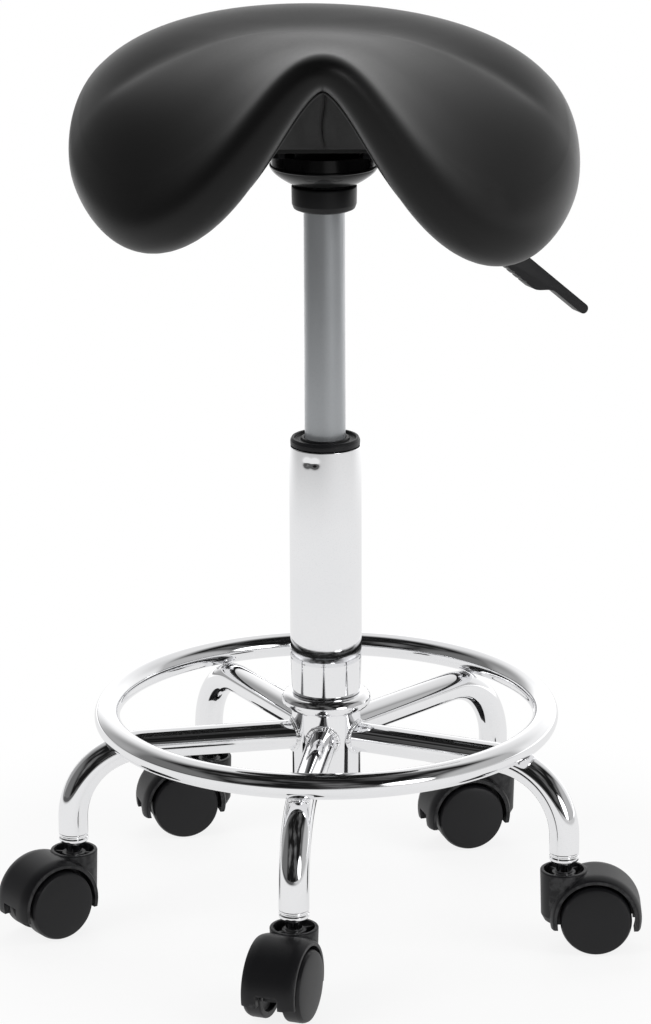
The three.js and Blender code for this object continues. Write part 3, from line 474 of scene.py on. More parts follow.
FINISHES: tuple[Finish, ...] = (
    PlatedFinish("bright_chrome", Slot.CHROME, (0.93, 0.93, 0.94), (0.86, 0.87, 0.89), 0.03, hazy=0.07,
                 smudge_scale=22.0, ripple=0.02),
    PlatedFinish("ground_steel", Slot.SATIN_STEEL, (0.43, 0.445, 0.46), (0.37, 0.385, 0.4), 0.3, hazy=0.38,
                 metallic=0.55, lines=0.25, scratches=0.05),
    PlatedFinish("zinc_plate", Slot.ZINC_STEEL, (0.55, 0.55, 0.53), (0.42, 0.43, 0.42), 0.3, hazy=0.48,
                 smudge_scale=90.0, ripple=0.15, patch=110.0, tone_amount=0.6),
    GrainedFinish("black_powder_coat", Slot.BLACK_PAINT, (0.009, 0.009, 0.009), (0.013, 0.013, 0.0134),
                  0.42, 0.3,
                  grain_scale=1500.0, creases=0.1, pores=0.9, depth=0.00006, strength=0.3, wear=0.4,
                  wear_colour=(0.06, 0.06, 0.06)),
    GrainedFinish("moulded_nylon", Slot.BLACK_NYLON, (0.0068, 0.0068, 0.0078), (0.01, 0.01, 0.0114),
                  0.45, 0.32,
                  grain_scale=2100.0, creases=0.35, pores=0.8, depth=0.00005, strength=0.35, wear=0.5,
                  wear_colour=(0.06, 0.06, 0.062)),
    GrainedFinish("gloss_plastic", Slot.GLOSS_BLACK, (0.0042, 0.0042, 0.0044), (0.0065, 0.0065, 0.0068),
                  0.24, 0.26,
                  grain_scale=500.0, creases=0.0, pores=0.5, depth=0.00003, strength=0.15, coat=0.12,
                  wear=0.3, wear_colour=(0.05, 0.05, 0.05)),
    GrainedFinish("black_leatherette", Slot.LEATHERETTE, (0.0038, 0.0037, 0.0038), (0.0054, 0.0053, 0.0053),
                  0.41, 0.215,
                  grain_scale=1150.0, creases=0.6, pores=0.5, depth=0.00006, strength=0.3, patch=9.0,
                  rough_span=0.07),
    FeltedFinish("dust_cloth", Slot.BLACK_CLOTH, (0.01, 0.01, 0.01), (0.018, 0.018, 0.018), 0.85),
    GrainedFinish("soft_rubber", Slot.RUBBER, (0.022, 0.022, 0.022), (0.03, 0.03, 0.029), 0.8,
                  grain_scale=1200.0, creases=0.2, pores=0.8),
    PlyFinish("beech_ply", Slot.PLYWOOD, (0.58, 0.4, 0.22), (0.5, 0.33, 0.17), 0.6),
    GrainedFinish("pan_moulding", Slot.PAN_PLASTIC, (0.02, 0.02, 0.02), (0.028, 0.028, 0.028), 0.5,
                  grain_scale=800.0, creases=0.3, pores=0.6, strength=0.3),
)


# Painted shade: near-black steel for the flange screws, darkened to the shadow under the seat in place of
# their slot's material.
SHADE_BLACK_STEEL = PlatedFinish("black_oxide", Slot.ZINC_STEEL, (0.02, 0.02, 0.021), (0.032, 0.032, 0.034), 0.5,
                     hazy=0.62, smudge_scale=90.0, patch=110.0, tone_amount=0.6)


class Wardrobe:
    """The finished materials, by the record's slot."""

    def __init__(self, finishes: Sequence[Finish]) -> None:
        """Builds every finish once."""
        self.materials = {finish.slot: finish.build() for finish in finishes}

    def fit(self, piece: Object, slot: Slot, body: str, *nodes: str) -> Object:
        """Gives a finished piece its material and lets it ride on its body in the place of CAD nodes.

        Args:
            piece: The piece.
            slot: The slot of its material.
            body: The body it rides on.
            nodes: The CAD nodes that it stands for.

        Returns:
            The piece.
        """
        piece.data.materials.clear()
        piece.data.materials.append(self.materials[slot])
        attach(piece, body)
        if nodes:
            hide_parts(*nodes)
        LOG.info("%s rides on %s, %d faces", piece.name, body, len(piece.data.polygons))
        return piece

    def tube(self, piece: Object, radius: float, sides: int, slot: Slot, capped: bool = False) -> Object:
        """Draws a round tube along the path that a piece carries.

        Args:
            piece: The path, which becomes the tube.
            radius: The tube's radius in millimetres.
            sides: Facets round it.
            slot: The slot of its material.
            capped: Whether its ends are closed.

        Returns:
            The piece.
        """
        values = {"Radius": radius * MM, "Sides": sides, "Capped": capped, "Finish": self.materials[slot]}
        return grow(piece, shared("tube_along_path", tube_tree), values)


# Meshes


def new_object(name: str, data) -> Object:
    """Makes an object with its data in the scene."""
    made = bpy.data.objects.new(name, data)
    bpy.context.scene.collection.objects.link(made)
    return made


def turned(degrees: float, axis: str = "Z") -> Matrix:
    """Returns a turn about an axis through the origin."""
    return Matrix.Rotation(math.radians(degrees), 4, axis)


def ease(share):
    """Returns a share from 0 to 1 with a smooth start and end."""
    return share * share * (3 - 2 * share)


def around(count: int) -> np.ndarray:
    """Returns even angles round a circle."""
    return np.arange(count) * 2 * math.pi / count


def ring_faces(rings: int, sides: int, looped: bool = False, inwards: bool = False) -> list[tuple[int, ...]]:
    """Lists the faces between rings of points.

    Args:
        rings: How many rings there are.
        sides: Points in each ring.
        looped: Whether the last ring is also joined to the first.
        inwards: Whether the corners run the other way round.

    Returns:
        The corner numbers of each face.
    """
    faces = []
    for i in range(rings if looped else rings - 1):
        here, there = i * sides, (i + 1) % rings * sides
        for j in range(sides):
            k = (j + 1) % sides
            corners = (here + j, here + k, there + k, there + j)
            faces.append((corners[0], *corners[:0:-1]) if inwards else corners)
    return faces


def piece_from(name: str, points: np.ndarray, faces: Sequence[Sequence[int]], smooth: bool = True) -> Object:
    """Makes an object at the origin from points and faces.

    Args:
        name: The piece's name.
        points: Points in metres, one row each.
        faces: Corner numbers of each face.
        smooth: Whether the faces are shaded smooth.

    Returns:
        The new object.
    """
    mesh = bpy.data.meshes.new(name)
    mesh.from_pydata([tuple(map(float, p)) for p in points], [], [tuple(f) for f in faces])
    mesh.validate()
    piece = new_object(name, mesh)
    close_outwards(piece)
    for polygon in mesh.polygons:
        polygon.use_smooth = smooth
    return piece


def close_outwards(piece: Object) -> None:
    """Merges doubled points and turns the faces of a closed mesh outwards."""
    work = bmesh.new()
    work.from_mesh(piece.data)
    bmesh.ops.remove_doubles(work, verts=work.verts, dist=1e-7)
    bmesh.ops.recalc_face_normals(work, faces=work.faces)
    if work.calc_volume(signed=True) < 0:
        bmesh.ops.reverse_faces(work, faces=work.faces)
    work.to_mesh(piece.data)
    work.free()


def bake(piece: Object) -> Object:
    """Turns a piece with its modifiers into a plain mesh."""
    graph = bpy.context.evaluated_depsgraph_get()
    graph.update()
    mesh = bpy.data.meshes.new_from_object(piece.evaluated_get(graph))
    mesh.name = piece.name
    piece.modifiers.clear()
    old = piece.data
    piece.data = mesh
    bpy.data.meshes.remove(old)
    return piece


def drop(*pieces: Object) -> None:
    """Removes helper objects."""
    for piece in pieces:
        bpy.data.objects.remove(piece)


def carve(piece: Object, steps: Sequence[tuple[Carve, Object]]) -> Object:
    """Joins or cuts a piece with others, in order, and removes those.

    Args:
        piece: What is worked on.
        steps: What is done with each tool.

    Returns:
        The piece, as a plain mesh.
    """
    for deed, tool in steps:
        tool.hide_render = True
        change = piece.modifiers.new("carve", "BOOLEAN")
        change.operation = deed.value
        change.solver = "EXACT"
        change.object = tool
    bake(piece)
    drop(*[tool for _, tool in steps])
    return piece


def soften(piece: Object, width: float, segments: int = 2, angle: float = 30.0) -> Object:
    """Rounds the sharp edges of a piece and shades it smooth between them.

    Args:
        piece: The piece.
        width: Width of the rounding in millimetres.
        segments: Steps of the rounding.
        angle: Edges that turn by more than this, in degrees, are sharp.

    Returns:
        The piece, as a plain mesh.
    """
    bevel = piece.modifiers.new("rounding", "BEVEL")
    bevel.width = width * MM
    bevel.segments = segments
    bevel.limit_method = "ANGLE"
    bevel.angle_limit = math.radians(angle)
    bevel.harden_normals = False
    bake(piece)
    piece.data.shade_smooth()
    piece.data.set_sharp_from_angle(angle=math.radians(angle + 8))
    return piece


ARC_STEPS = 4
STRAIGHT = math.radians(172)


def rounded(profile: Sequence[Point], radius: float, holed: bool) -> list[Point]:
    """Rounds the corners of a profile with arcs.

    Args:
        profile: Radius and height of each corner, in millimetres.
        radius: The rounding, which short edges make smaller.
        holed: Whether the profile closes on itself, round a hole along the axis.

    Returns:
        The profile with arcs for its corners.
    """
    corners = [Vector(p) for p in profile]
    count = len(corners)
    made: list[Point] = []
    for i, corner in enumerate(corners):
        at_end = not holed and i in (0, count - 1)
        before, after = corners[i - 1], corners[(i + 1) % count]
        one, two = before - corner, after - corner
        opening = 0.0 if min(one.length, two.length) < 1e-6 else one.angle(two)
        if at_end or not 0 < opening <= STRAIGHT:
            made.append(tuple(corner))
            continue
        reach = min(radius / math.tan(opening / 2), one.length * 0.45, two.length * 0.45)
        start, end = corner + one.normalized() * reach, corner + two.normalized() * reach
        for k in range(ARC_STEPS + 1):
            t = k / ARC_STEPS
            made.append(tuple(start * (1 - t) ** 2 + corner * 2 * t * (1 - t) + end * t**2))
    return made


def lathe(
    name: str, profile: Sequence[Point], rounding: float, holed: bool = True, sides: int = 96
) -> Object:
    """Turns a profile about Z.

    Args:
        name: The piece's name.
        profile: Radius and height of each corner, in millimetres.
        rounding: Radius of its rounded corners.
        holed: Whether it has a hole along its axis; if not, the profile starts and ends on the axis.
        sides: Facets round the axis.

    Returns:
        The new piece.
    """
    line = rounded(profile, rounding, holed)
    radii, heights = np.array(line).T * MM
    angles = around(sides)
    across = (np.cos(angles), np.sin(angles), np.ones(sides))
    rings = np.stack([np.outer(a, b) for a, b in zip((radii, radii, heights), across)], axis=2)
    return merged(name, rings.reshape(-1, 3), ring_faces(len(line), sides, looped=holed))


def merged(name: str, points: np.ndarray, faces: Sequence[Sequence[int]]) -> Object:
    """Makes a piece whose repeated points, such as those on the axis, become one."""
    keys, back = np.unique(np.round(points, 7), axis=0, return_inverse=True)
    back = back.reshape(-1)
    kept = []
    for face in faces:
        ring = [int(back[v]) for v in face]
        ring = [v for i, v in enumerate(ring) if v != ring[i - 1]]
        if len(set(ring)) > 2:
            kept.append(ring)
    return piece_from(name, keys, kept)


def rod(name: str, radius: float, low: float, high: float, sides: int = 64) -> Object:
    """Makes a plain round bar about Z, in millimetres, used to cut others."""
    return lathe(name, [(0, low), (radius, low), (radius, high), (0, high)], 0.0, False, sides)


def block(name: str, low: Sequence[float], high: Sequence[float]) -> Object:
    """Makes a block between two corners, in millimetres, used to cut others."""
    xs, ys, zs = ((a * MM, b * MM) for a, b in zip(low, high))
    points = np.array([(x, y, z) for x in xs for y in ys for z in zs])
    faces = [(0, 1, 3, 2), (4, 6, 7, 5), (0, 4, 5, 1), (2, 3, 7, 6), (0, 2, 6, 4), (1, 5, 7, 3)]
    return piece_from(name, points, faces, smooth=False)


def spin(piece: Object, degrees: float, axis: str = "Z") -> Object:
    """Turns a piece's mesh about an axis through the origin."""
    piece.data.transform(turned(degrees, axis))
    return piece


def turn_to_y(piece: Object) -> Object:
    """Lays what was turned about Z along Y."""
    return spin(piece, -90, "X")


def shift(piece: Object, x: float = 0.0, y: float = 0.0, z: float = 0.0) -> Object:
    """Moves a piece's mesh, in millimetres."""
    piece.data.transform(Matrix.Translation((x * MM, y * MM, z * MM)))
    return piece


def copy_at(template: Object, name: str, place: Matrix) -> Object:
    """Makes a copy of a template with its mesh moved to a place."""
    mesh = template.data.copy()
    mesh.name = name
    mesh.transform(place)
    return new_object(name, mesh)


# Geometry Nodes


def input_id(tree: bpy.types.NodeTree, label: str) -> str:
    """Returns the identifier of a tree's named input."""
    return next(
        item.identifier
        for item in tree.interface.items_tree
        if item.item_type == "SOCKET" and item.in_out == "INPUT" and item.name == label
    )


def grow(piece: Object, tree: bpy.types.NodeTree, values: dict) -> Object:
    """Runs a geometry tree on a piece and keeps the result as a plain mesh.

    Args:
        piece: The object that carries the path.
        tree: The geometry tree.
        values: Its inputs by name.

    Returns:
        The piece.
    """
    change = piece.modifiers.new("grow", "NODES")
    change.node_group = tree
    for label, value in values.items():
        change[input_id(tree, label)] = value
    piece.update_tag()
    bake(piece)
    return piece


def chain(start: int, count: int, closed: bool) -> list[tuple[int, int]]:
    """Lists the edges along a run of points, and back to its first where it is closed."""
    edges = [(start + i, start + i + 1) for i in range(count - 1)]
    return edges + ([(start + count - 1, start)] if closed else [])


def path_object(
    name: str, points: Sequence, closed: bool = False, lifts: Sequence = (), edges: Sequence = ()
) -> Object:
    """Makes a line of edges for a geometry tree.

    Args:
        name: The object's name.
        points: Its points in metres.
        closed: Whether the line comes back to its start.
        lifts: The upward direction at each point, where the tree asks for one.
        edges: The edges, where they aren't one line.

    Returns:
        The new object.
    """
    mesh = bpy.data.meshes.new(name)
    mesh.from_pydata([tuple(Vector(p)) for p in points], edges or chain(0, len(points), closed), [])
    if len(lifts):
        lift = mesh.attributes.new("lift", "FLOAT_VECTOR", "POINT")
        lift.data.foreach_set("vector", np.array(lifts, np.float32).ravel())
    return new_object(name, mesh)


def path_tree(name: str, inputs: Sequence[tuple]) -> tuple:
    """Starts a geometry tree that works along a path.

    Args:
        name: The tree's name.
        inputs: Its inputs between the path and the finish.

    Returns:
        The tree's Sheet, the sockets of its inputs, its group output node and the path as a curve.
    """
    given_inputs = [("Path", SHAPE), *inputs, ("Finish", FINISH)]
    sheet, given, result = group_tree(name, "GeometryNodeTree", given_inputs, [("Geometry", SHAPE)])
    return sheet, given, result, sheet.add("GeometryNodeMeshToCurve", {0: given["Path"]}).outputs[0]


def finish_tree(sheet: Sheet, given, result: bpy.types.Node, geometry) -> bpy.types.NodeTree:
    """Ends a geometry tree in smooth shading, Realize Instances and Set Material, and returns it."""
    real = sheet.add("GeometryNodeRealizeInstances", {0: geometry})
    smooth = sheet.add("GeometryNodeSetShadeSmooth", {0: real.outputs[0]})
    dressed = sheet.add("GeometryNodeSetMaterial", {0: smooth.outputs[0], "Material": given["Finish"]})
    return sheet.give(result, Geometry=dressed.outputs[0])


def tube_tree() -> bpy.types.NodeTree:
    """Builds the tree that draws a round tube along a path."""
    inputs = [("Radius", FLOAT, 0.01), ("Sides", WHOLE, 40), ("Capped", "NodeSocketBool", False)]
    sheet, given, result, curve = path_tree("tube_along_path", inputs)
    section = sheet.add(
        "GeometryNodeCurvePrimitiveCircle", {"Resolution": given["Sides"], "Radius": given["Radius"]})
    tube = sheet.add(
        "GeometryNodeCurveToMesh", {0: curve, 1: section.outputs["Curve"], "Fill Caps": given["Capped"]})
    return finish_tree(sheet, given, result, tube.outputs[0])


def bead_tree() -> bpy.types.NodeTree:
    """Builds the tree that lays overlapping drops of weld along a path."""
    sheet, given, result, curve = path_tree(
        "weld_bead",
        [("Pitch", FLOAT, 0.001), ("Radius", FLOAT, 0.0018), ("Unevenness", FLOAT, 0.15), ("Seed", WHOLE, 7)])
    points = sheet.add("GeometryNodeResampleCurve", {0: curve, "Length": given["Pitch"]}, mode="LENGTH")
    drop_mesh = sheet.add("GeometryNodeMeshIcoSphere", {"Radius": given["Radius"], "Subdivisions": 2})
    uneven = given["Unevenness"]
    size = sheet.random(sheet.less(1.0, uneven), sheet.plus(1.0, uneven), given["Seed"])
    laid = sheet.add(
        "GeometryNodeInstanceOnPoints",
        {"Points": points.outputs[0], "Instance": drop_mesh.outputs["Mesh"], "Scale": size})
    return finish_tree(sheet, given, result, laid.outputs[0])


def row_tree() -> bpy.types.NodeTree:
    """Builds the tree that sets copies of an object along a path, standing up along its lift."""
    sheet, given, result, curve = path_tree(
        "row_on_path",
        [("Part", "NodeSocketObject"), ("Pitch", FLOAT, 0.02), ("Wander", FLOAT, 0.1), ("Seed", WHOLE, 3)])
    points = sheet.add("GeometryNodeResampleCurve", {0: curve, "Length": given["Pitch"]}, mode="LENGTH")
    part = sheet.add("GeometryNodeObjectInfo", {"Object": given["Part"]})
    tangent = sheet.add("GeometryNodeInputTangent")
    lift = sheet.add("GeometryNodeInputNamedAttribute", {"Name": "lift"}, data_type="FLOAT_VECTOR")
    along = sheet.add("FunctionNodeAlignRotationToVector", {"Vector": tangent.outputs[0]}, axis="X")
    upright = sheet.add(
        "FunctionNodeAlignRotationToVector",
        {"Rotation": along.outputs[0], "Vector": lift.outputs["Attribute"]},
        axis="Z", pivot_axis="X")
    wander = sheet.random(sheet.times(given["Wander"], -1.0), given["Wander"], given["Seed"])
    twist = sheet.add("ShaderNodeCombineXYZ", {"Z": wander})
    twisted = sheet.add(
        "FunctionNodeRotateRotation", {"Rotation": upright.outputs[0], "Rotate By": twist.outputs[0]},
        rotation_space="LOCAL")
    laid = sheet.add(
        "GeometryNodeInstanceOnPoints",
        {"Points": points.outputs[0], "Instance": part.outputs["Geometry"], "Rotation": twisted.outputs[0]})
    return finish_tree(sheet, given, result, laid.outputs[0])


# The saddle


@dataclass
class SaddleForm:
    """The saddle's middle surface and the padding on both sides of it, in millimetres.

    The middle surface is the part's. The dip where one sits and the rounder front edge are the scene's own.
    """

    half_width: float = 180.5
    half_length: float = 168.3
    forward: float = 5.8
    narrowing: float = 0.50
    narrowing_power: float = 2.08
    heights: tuple[float, ...] = (74.9, 58.4, 55.3, 47.3, -32.6)
    slopes: tuple[float, float] = (1.88, 0.67)
    crowns: tuple[float, float] = (30.0, 290.0)
    flap_drop: float = 46.6
    flap_power: float = 2.0
    flap_lean: float = 5.4
    dip: float = 11.0
    dip_place: float = 0.05
    dip_reach: tuple[float, float] = (0.33, 0.37)
    dip_power: float = 2.6
    crown_height: float = 25.0
    edges: tuple[float, float, float] = (12.2, 48.0, 38.8)
    base: float = 549.8

    def ridge(self, along: np.ndarray) -> np.ndarray:
        """Returns the height of the ridge line from front (-1) to back (1)."""
        heights = np.array(self.heights)
        last = len(heights) - 1
        place = np.clip((along + 1) / 2 * last, 0, last - 1e-6)
        i = np.floor(place).astype(int)
        t = place - i
        padded = np.concatenate([[2 * heights[0] - heights[1]], heights, [2 * heights[-1] - heights[-2]]])
        a, b, c, d = (padded[i + k] for k in range(4))
        cubic = (3 * b - a - 3 * c + d) * t**3 + (2 * a - 5 * b + 4 * c - d) * t**2
        return (cubic + (c - a) * t + 2 * b) / 2

    def middle(self, across: np.ndarray, along: np.ndarray) -> np.ndarray:
        """Returns points of the middle surface, in millimetres."""
        narrow = self.narrowing * np.maximum((1 - along) / 2, 0) ** self.narrowing_power
        x = self.half_width * across * (1 - narrow)
        y = self.half_length * along - self.forward
        back = ease(np.clip((along + 1) / 1.6, 0, 1))
        slope = self.slopes[0] + (self.slopes[1] - self.slopes[0]) * back
        crown = self.crowns[0] + (self.crowns[1] - self.crowns[0]) * back
        fall = slope * (np.hypot(x, crown) - crown)
        flap = self.flap_drop * np.abs(across) ** self.flap_power + self.flap_lean * across
        return np.stack([x, y, self.base + self.ridge(along) - fall - flap], axis=-1)

    def outward(self, across: np.ndarray, along: np.ndarray) -> np.ndarray:
        """Returns the upward normals of the middle surface."""
        step = 0.001
        right = self.middle(across + step, along) - self.middle(across - step, along)
        behind = self.middle(across, along + step) - self.middle(across, along - step)
        normal = np.cross(right, behind)
        return normal / np.linalg.norm(normal, axis=-1, keepdims=True)

    def thickness(self, share: np.ndarray, angle: np.ndarray) -> np.ndarray:
        """Returns half the padding's thickness at a share of the way out to the rim."""
        front, flap, back = self.edges
        along = -np.cos(angle)
        end = np.where(along < 0, front, back)
        power = np.where(along < 0, 1.5, 2.0)
        edge = flap + (end - flap) * np.abs(along) ** power
        body = self.crown_height + (edge - self.crown_height) * ease(share)
        return body * np.sqrt(np.maximum(1 - share ** (2 * self.half_length / edge), 0))

    def sunk(self, share: np.ndarray, angle: np.ndarray) -> np.ndarray:
        """Returns how far the top is sat in at a place: most in the middle, nothing at the rim."""
        across = share * np.sin(angle)
        away = -share * np.cos(angle) - self.dip_place
        away = away / np.where(away < 0, *self.dip_reach)
        return self.dip * np.exp(-(away**2)) * np.maximum(1 - across**2, 0) ** self.dip_power

    def point(self, share: np.ndarray, angle: np.ndarray, lift: np.ndarray) -> np.ndarray:
        """Returns points at a height over the middle surface, in millimetres."""
        across, along = share * np.sin(angle), -share * np.cos(angle)
        return self.middle(across, along) + self.outward(across, along) * np.asarray(lift)[..., None]

    def loop(self, share: float, angles: np.ndarray, lift: float) -> np.ndarray:
        """Returns the points of one share and one height, at all the angles."""
        return self.point(np.full_like(angles, share), angles, np.full_like(angles, lift))


@dataclass
class Seat:
    """The cushion with its welt, and the dust cover with its staples."""

    wardrobe: Wardrobe
    form: SaddleForm = field(default_factory=SaddleForm)
    spokes: int = 168
    inset: float = 0.3
    voxel: float = 4.6
    swell: float = 5.0
    pressure: float = 4.0
    frames: int = 20
    pan_thickness: float = 6.0
    pan_edge: float = 0.84
    recess_edge: float = 0.86
    gap: float = 0.3
    cover_thickness: float = 1.2
    block_half: tuple[float, float] = (40.6, 36.6)
    plate_half: tuple[float, float] = (50.0, 46.0)
    squareness: float = 6.0
    welt_radius: float = 1.1
    blank_share: float = 0.8
    staple: tuple[float, float, float] = (0.9, 10.0, 3.0)

    def rings(self, inset: float) -> list[np.ndarray]:
        """Lays out the cushion's rings, from the top middle out to the rim and in under the pan.

        Args:
            inset: How far the padding is drawn in from its full size.

        Returns:
            One array of points for each ring.
        """
        angles = around(self.spokes)
        edge = 1 - 0.14 * np.cos(np.linspace(0, 1.5, 15)[1:]) ** 2.2
        over = np.concatenate([np.linspace(0.04, 0.86, 22), edge])
        under = 1 - 0.14 * np.sin(np.linspace(0.12, math.pi / 2, 9)) ** 2
        inside = np.linspace(self.recess_edge, 0.05, 16)
        made = [self.ring(angles, share, inset, 1) for share in over]
        made += [self.ring(angles, share, inset, -1) for share in under]
        return made + [self.form.loop(share, angles, self.gap) for share in inside]

    def ring(self, angles: np.ndarray, share: float, inset: float, side: int) -> np.ndarray:
        """Returns one ring of the padding's outside, over (1) or under (-1) the middle surface."""
        shares = np.full_like(angles, share)
        thick = self.form.thickness(shares, angles) - inset
        if side > 0:
            thick -= self.form.sunk(shares, angles)
        thick = np.maximum(thick, 0.2)
        drawn_in = shares * (1 - inset / self.form.half_width)
        return self.form.point(drawn_in, angles, side * thick)

    def cushion(self) -> Object:
        """Builds the cushion: its form, swollen by cloth under pressure."""
        rings = self.rings(self.inset)
        points = np.concatenate(rings)
        count, last = self.spokes, len(rings) - 1
        faces = ring_faces(len(rings), count, inwards=True)
        points = np.concatenate([points, [rings[0].mean(0)], [rings[-1].mean(0)]]) * MM
        top, bottom = len(points) - 2, len(points) - 1
        for j in range(count):
            k = (j + 1) % count
            faces.append((top, j, k))
            faces.append((bottom, last * count + k, last * count + j))
        piece = piece_from("saddle_cushion", points, faces)
        self.simulate(piece)
        smooth = piece.modifiers.new("finer", "SUBSURF")
        smooth.levels = smooth.render_levels = 1
        bake(piece)
        piece.data.shade_smooth()
        self.wardrobe.fit(piece, Slot.LEATHERETTE, "seat", "seat_cushion")
        return piece

    def simulate(self, piece: Object) -> None:
        """Swells the cushion as a cloth of even cells does under pressure, held where it lies on the pan.

        Args:
            piece: The cushion, whose points are moved as the cloth's nearest cells are.
        """
        cloth_piece = new_object("cloth_cells", piece.data.copy())
        remesh = cloth_piece.modifiers.new("voxels", "REMESH")
        remesh.mode = "VOXEL"
        remesh.voxel_size = self.voxel * MM
        bake(cloth_piece)
        start = np.array([v.co for v in cloth_piece.data.vertices])
        held = self.held(start)
        group = cloth_piece.vertex_groups.new(name="held")
        for index, weight in enumerate(held):
            if weight > 0:
                group.add([index], float(weight), "REPLACE")
        cloth = cloth_piece.modifiers.new("cloth", "CLOTH")
        settings = cloth.settings
        settings.quality = 6
        settings.mass = 0.35
        settings.tension_stiffness = settings.compression_stiffness = 25
        settings.shear_stiffness = 12
        settings.bending_stiffness = 4
        settings.use_pressure = True
        settings.uniform_pressure_force = self.pressure
        settings.vertex_group_mass = "held"
        settings.effector_weights.gravity = 0
        cloth.collision_settings.use_self_collision = False
        cloth.point_cache.frame_start, cloth.point_cache.frame_end = 1, self.frames
        scene = bpy.context.scene
        for step in range(1, self.frames + 1):
            scene.frame_set(step)
        graph = bpy.context.evaluated_depsgraph_get()
        mesh = cloth_piece.evaluated_get(graph).to_mesh()
        ended = np.array([v.co for v in mesh.vertices])
        cloth_piece.evaluated_get(graph).to_mesh_clear()
        moved = ended - start
        length = np.linalg.norm(moved, axis=1, keepdims=True)
        cap = self.swell * MM
        moved *= cap * np.tanh(length / cap) / np.maximum(length, 1e-9)
        scene.frame_set(1)
        drop(cloth_piece)
        self.follow(piece, start, moved)
        LOG.info("the cloth swelled by %.1f mm at most", float(length.max()) / MM)

    def follow(self, piece: Object, start: np.ndarray, moved: np.ndarray) -> None:
        """Moves each point of the cushion by the weighted mean of its nearest cells' moves.

        Args:
            piece: The cushion.
            start: The cells' places before the cloth ran.
            moved: How far each cell went.
        """
        tree = KDTree(len(start))
        for index, point in enumerate(start):
            tree.insert(Vector(point), index)
        tree.balance()
        reach = self.voxel * MM * 1.6
        for vertex in piece.data.vertices:
            near = tree.find_n(vertex.co, 20)
            weights = np.exp(-((np.array([n[2] for n in near]) / reach) ** 2))
            step = (moved[[n[1] for n in near]] * weights[:, None]).sum(0) / weights.sum()
            vertex.co += Vector(step)
        piece.data.update()

    def held(self, points: np.ndarray) -> np.ndarray:
        """Returns how firmly each point is held: fully over the pan, and less out to the lower rim."""
        angles = around(self.spokes)
        shares = np.linspace(0.04, 1.0, 40)
        pan = np.concatenate([self.form.loop(s, angles, -2.0) for s in shares]) * MM
        faces = ring_faces(len(shares), self.spokes, inwards=True)
        tree = BVHTree.FromPolygons([tuple(p) for p in pan], faces)
        weights = np.zeros(len(points))
        for index, point in enumerate(points):
            spot, normal, face, _ = tree.find_nearest(Vector(point))
            share = shares[face // self.spokes]
            height = (Vector(point) - spot).dot(normal if normal.z > 0 else -normal)
            if height < 0.004 and share < self.recess_edge + 0.02:
                weights[index] = 1.0
            elif height < 0.0:
                weights[index] = 0.6
        return weights

    def square_ring(self, half: tuple[float, float], angles: np.ndarray, height: float) -> np.ndarray:
        """Returns a ring round the column, squared up towards a rectangle."""
        x, y = np.sin(angles), -np.cos(angles)
        power = self.squareness
        radius = (np.abs(x / half[0]) ** power + np.abs(y / half[1]) ** power) ** (-1 / power)
        return np.stack([x * radius, y * radius, np.full_like(x, height)], axis=-1)

    def cover_sheet(self) -> np.ndarray:
        """Lays out the dust cover, from the rim down to the plate and in under the block.

        Returns:
            The points as rows of rings, in millimetres.
        """
        turn = np.linspace(-1, 1, 301)[:-1]
        angles = np.sign(turn) * math.pi * np.abs(turn) ** 1.35
        middle = self.cover_thickness / 2 + self.gap
        rim = self.form.loop(self.pan_edge, angles, -self.pan_thickness - middle)
        level = self.form.base + middle
        held = self.square_ring(self.plate_half, angles, level)
        opening = self.square_ring(self.block_half, angles, level)
        rows = []
        steps = 26
        radial = rim - held
        radial[:, 2] = 0
        radial /= np.maximum(np.linalg.norm(radial, axis=1, keepdims=True), 1e-6)
        folds = 0.5 * np.sin(9 * angles + 0.6) + 0.35 * np.sin(17 * angles + 2.1) + 0.2 * np.sin(31 * angles)
        for step in range(steps + 1):
            t = step / steps
            row = rim * (1 - t) + held * t
            belly = math.sin(math.pi * t)
            crease = np.exp(-(((angles - 0.022 * math.sin(7 * t)) / 0.024) ** 2))
            slack = belly * (1.6 * folds - 2.0) - crease * 6.5 * belly**0.5
            row = row + radial * slack[:, None] * np.array([1.0, 1.0, 0.0])
            row[:, 2] += np.abs(folds) * belly * 0.6
            rows.append(row)
        for t in (0.4, 0.8, 1.0):
            rows.append(held * (1 - t) + opening * t)
        return np.array(rows)

    def dust_cover(self) -> Object:
        """Builds the dust cover as a thin sheet with a crease at the front."""
        rows = self.cover_sheet()
        piece = piece_from("dust_cover", rows.reshape(-1, 3) * MM, ring_faces(*rows.shape[:2]))
        thick = piece.modifiers.new("thickness", "SOLIDIFY")
        thick.thickness = self.cover_thickness * MM
        thick.offset = 0
        bake(piece)
        close_outwards(piece)
        piece.data.shade_smooth()
        self.wardrobe.fit(piece, Slot.BLACK_CLOTH, "seat", "underside_cover")
        return piece

    def welt(self) -> Object:
        """Builds the rolled edge of the leatherette round the recess that the pan lies in."""
        angles = around(360)
        shares = np.full_like(angles, self.recess_edge + 0.006)
        lift = -self.form.thickness(shares, angles) - 0.1
        piece = path_object("cushion_welt", self.form.point(shares, angles, lift) * MM, closed=True)
        self.wardrobe.tube(piece, self.welt_radius, 12, Slot.LEATHERETTE)
        return self.wardrobe.fit(piece, Slot.LEATHERETTE, "seat")

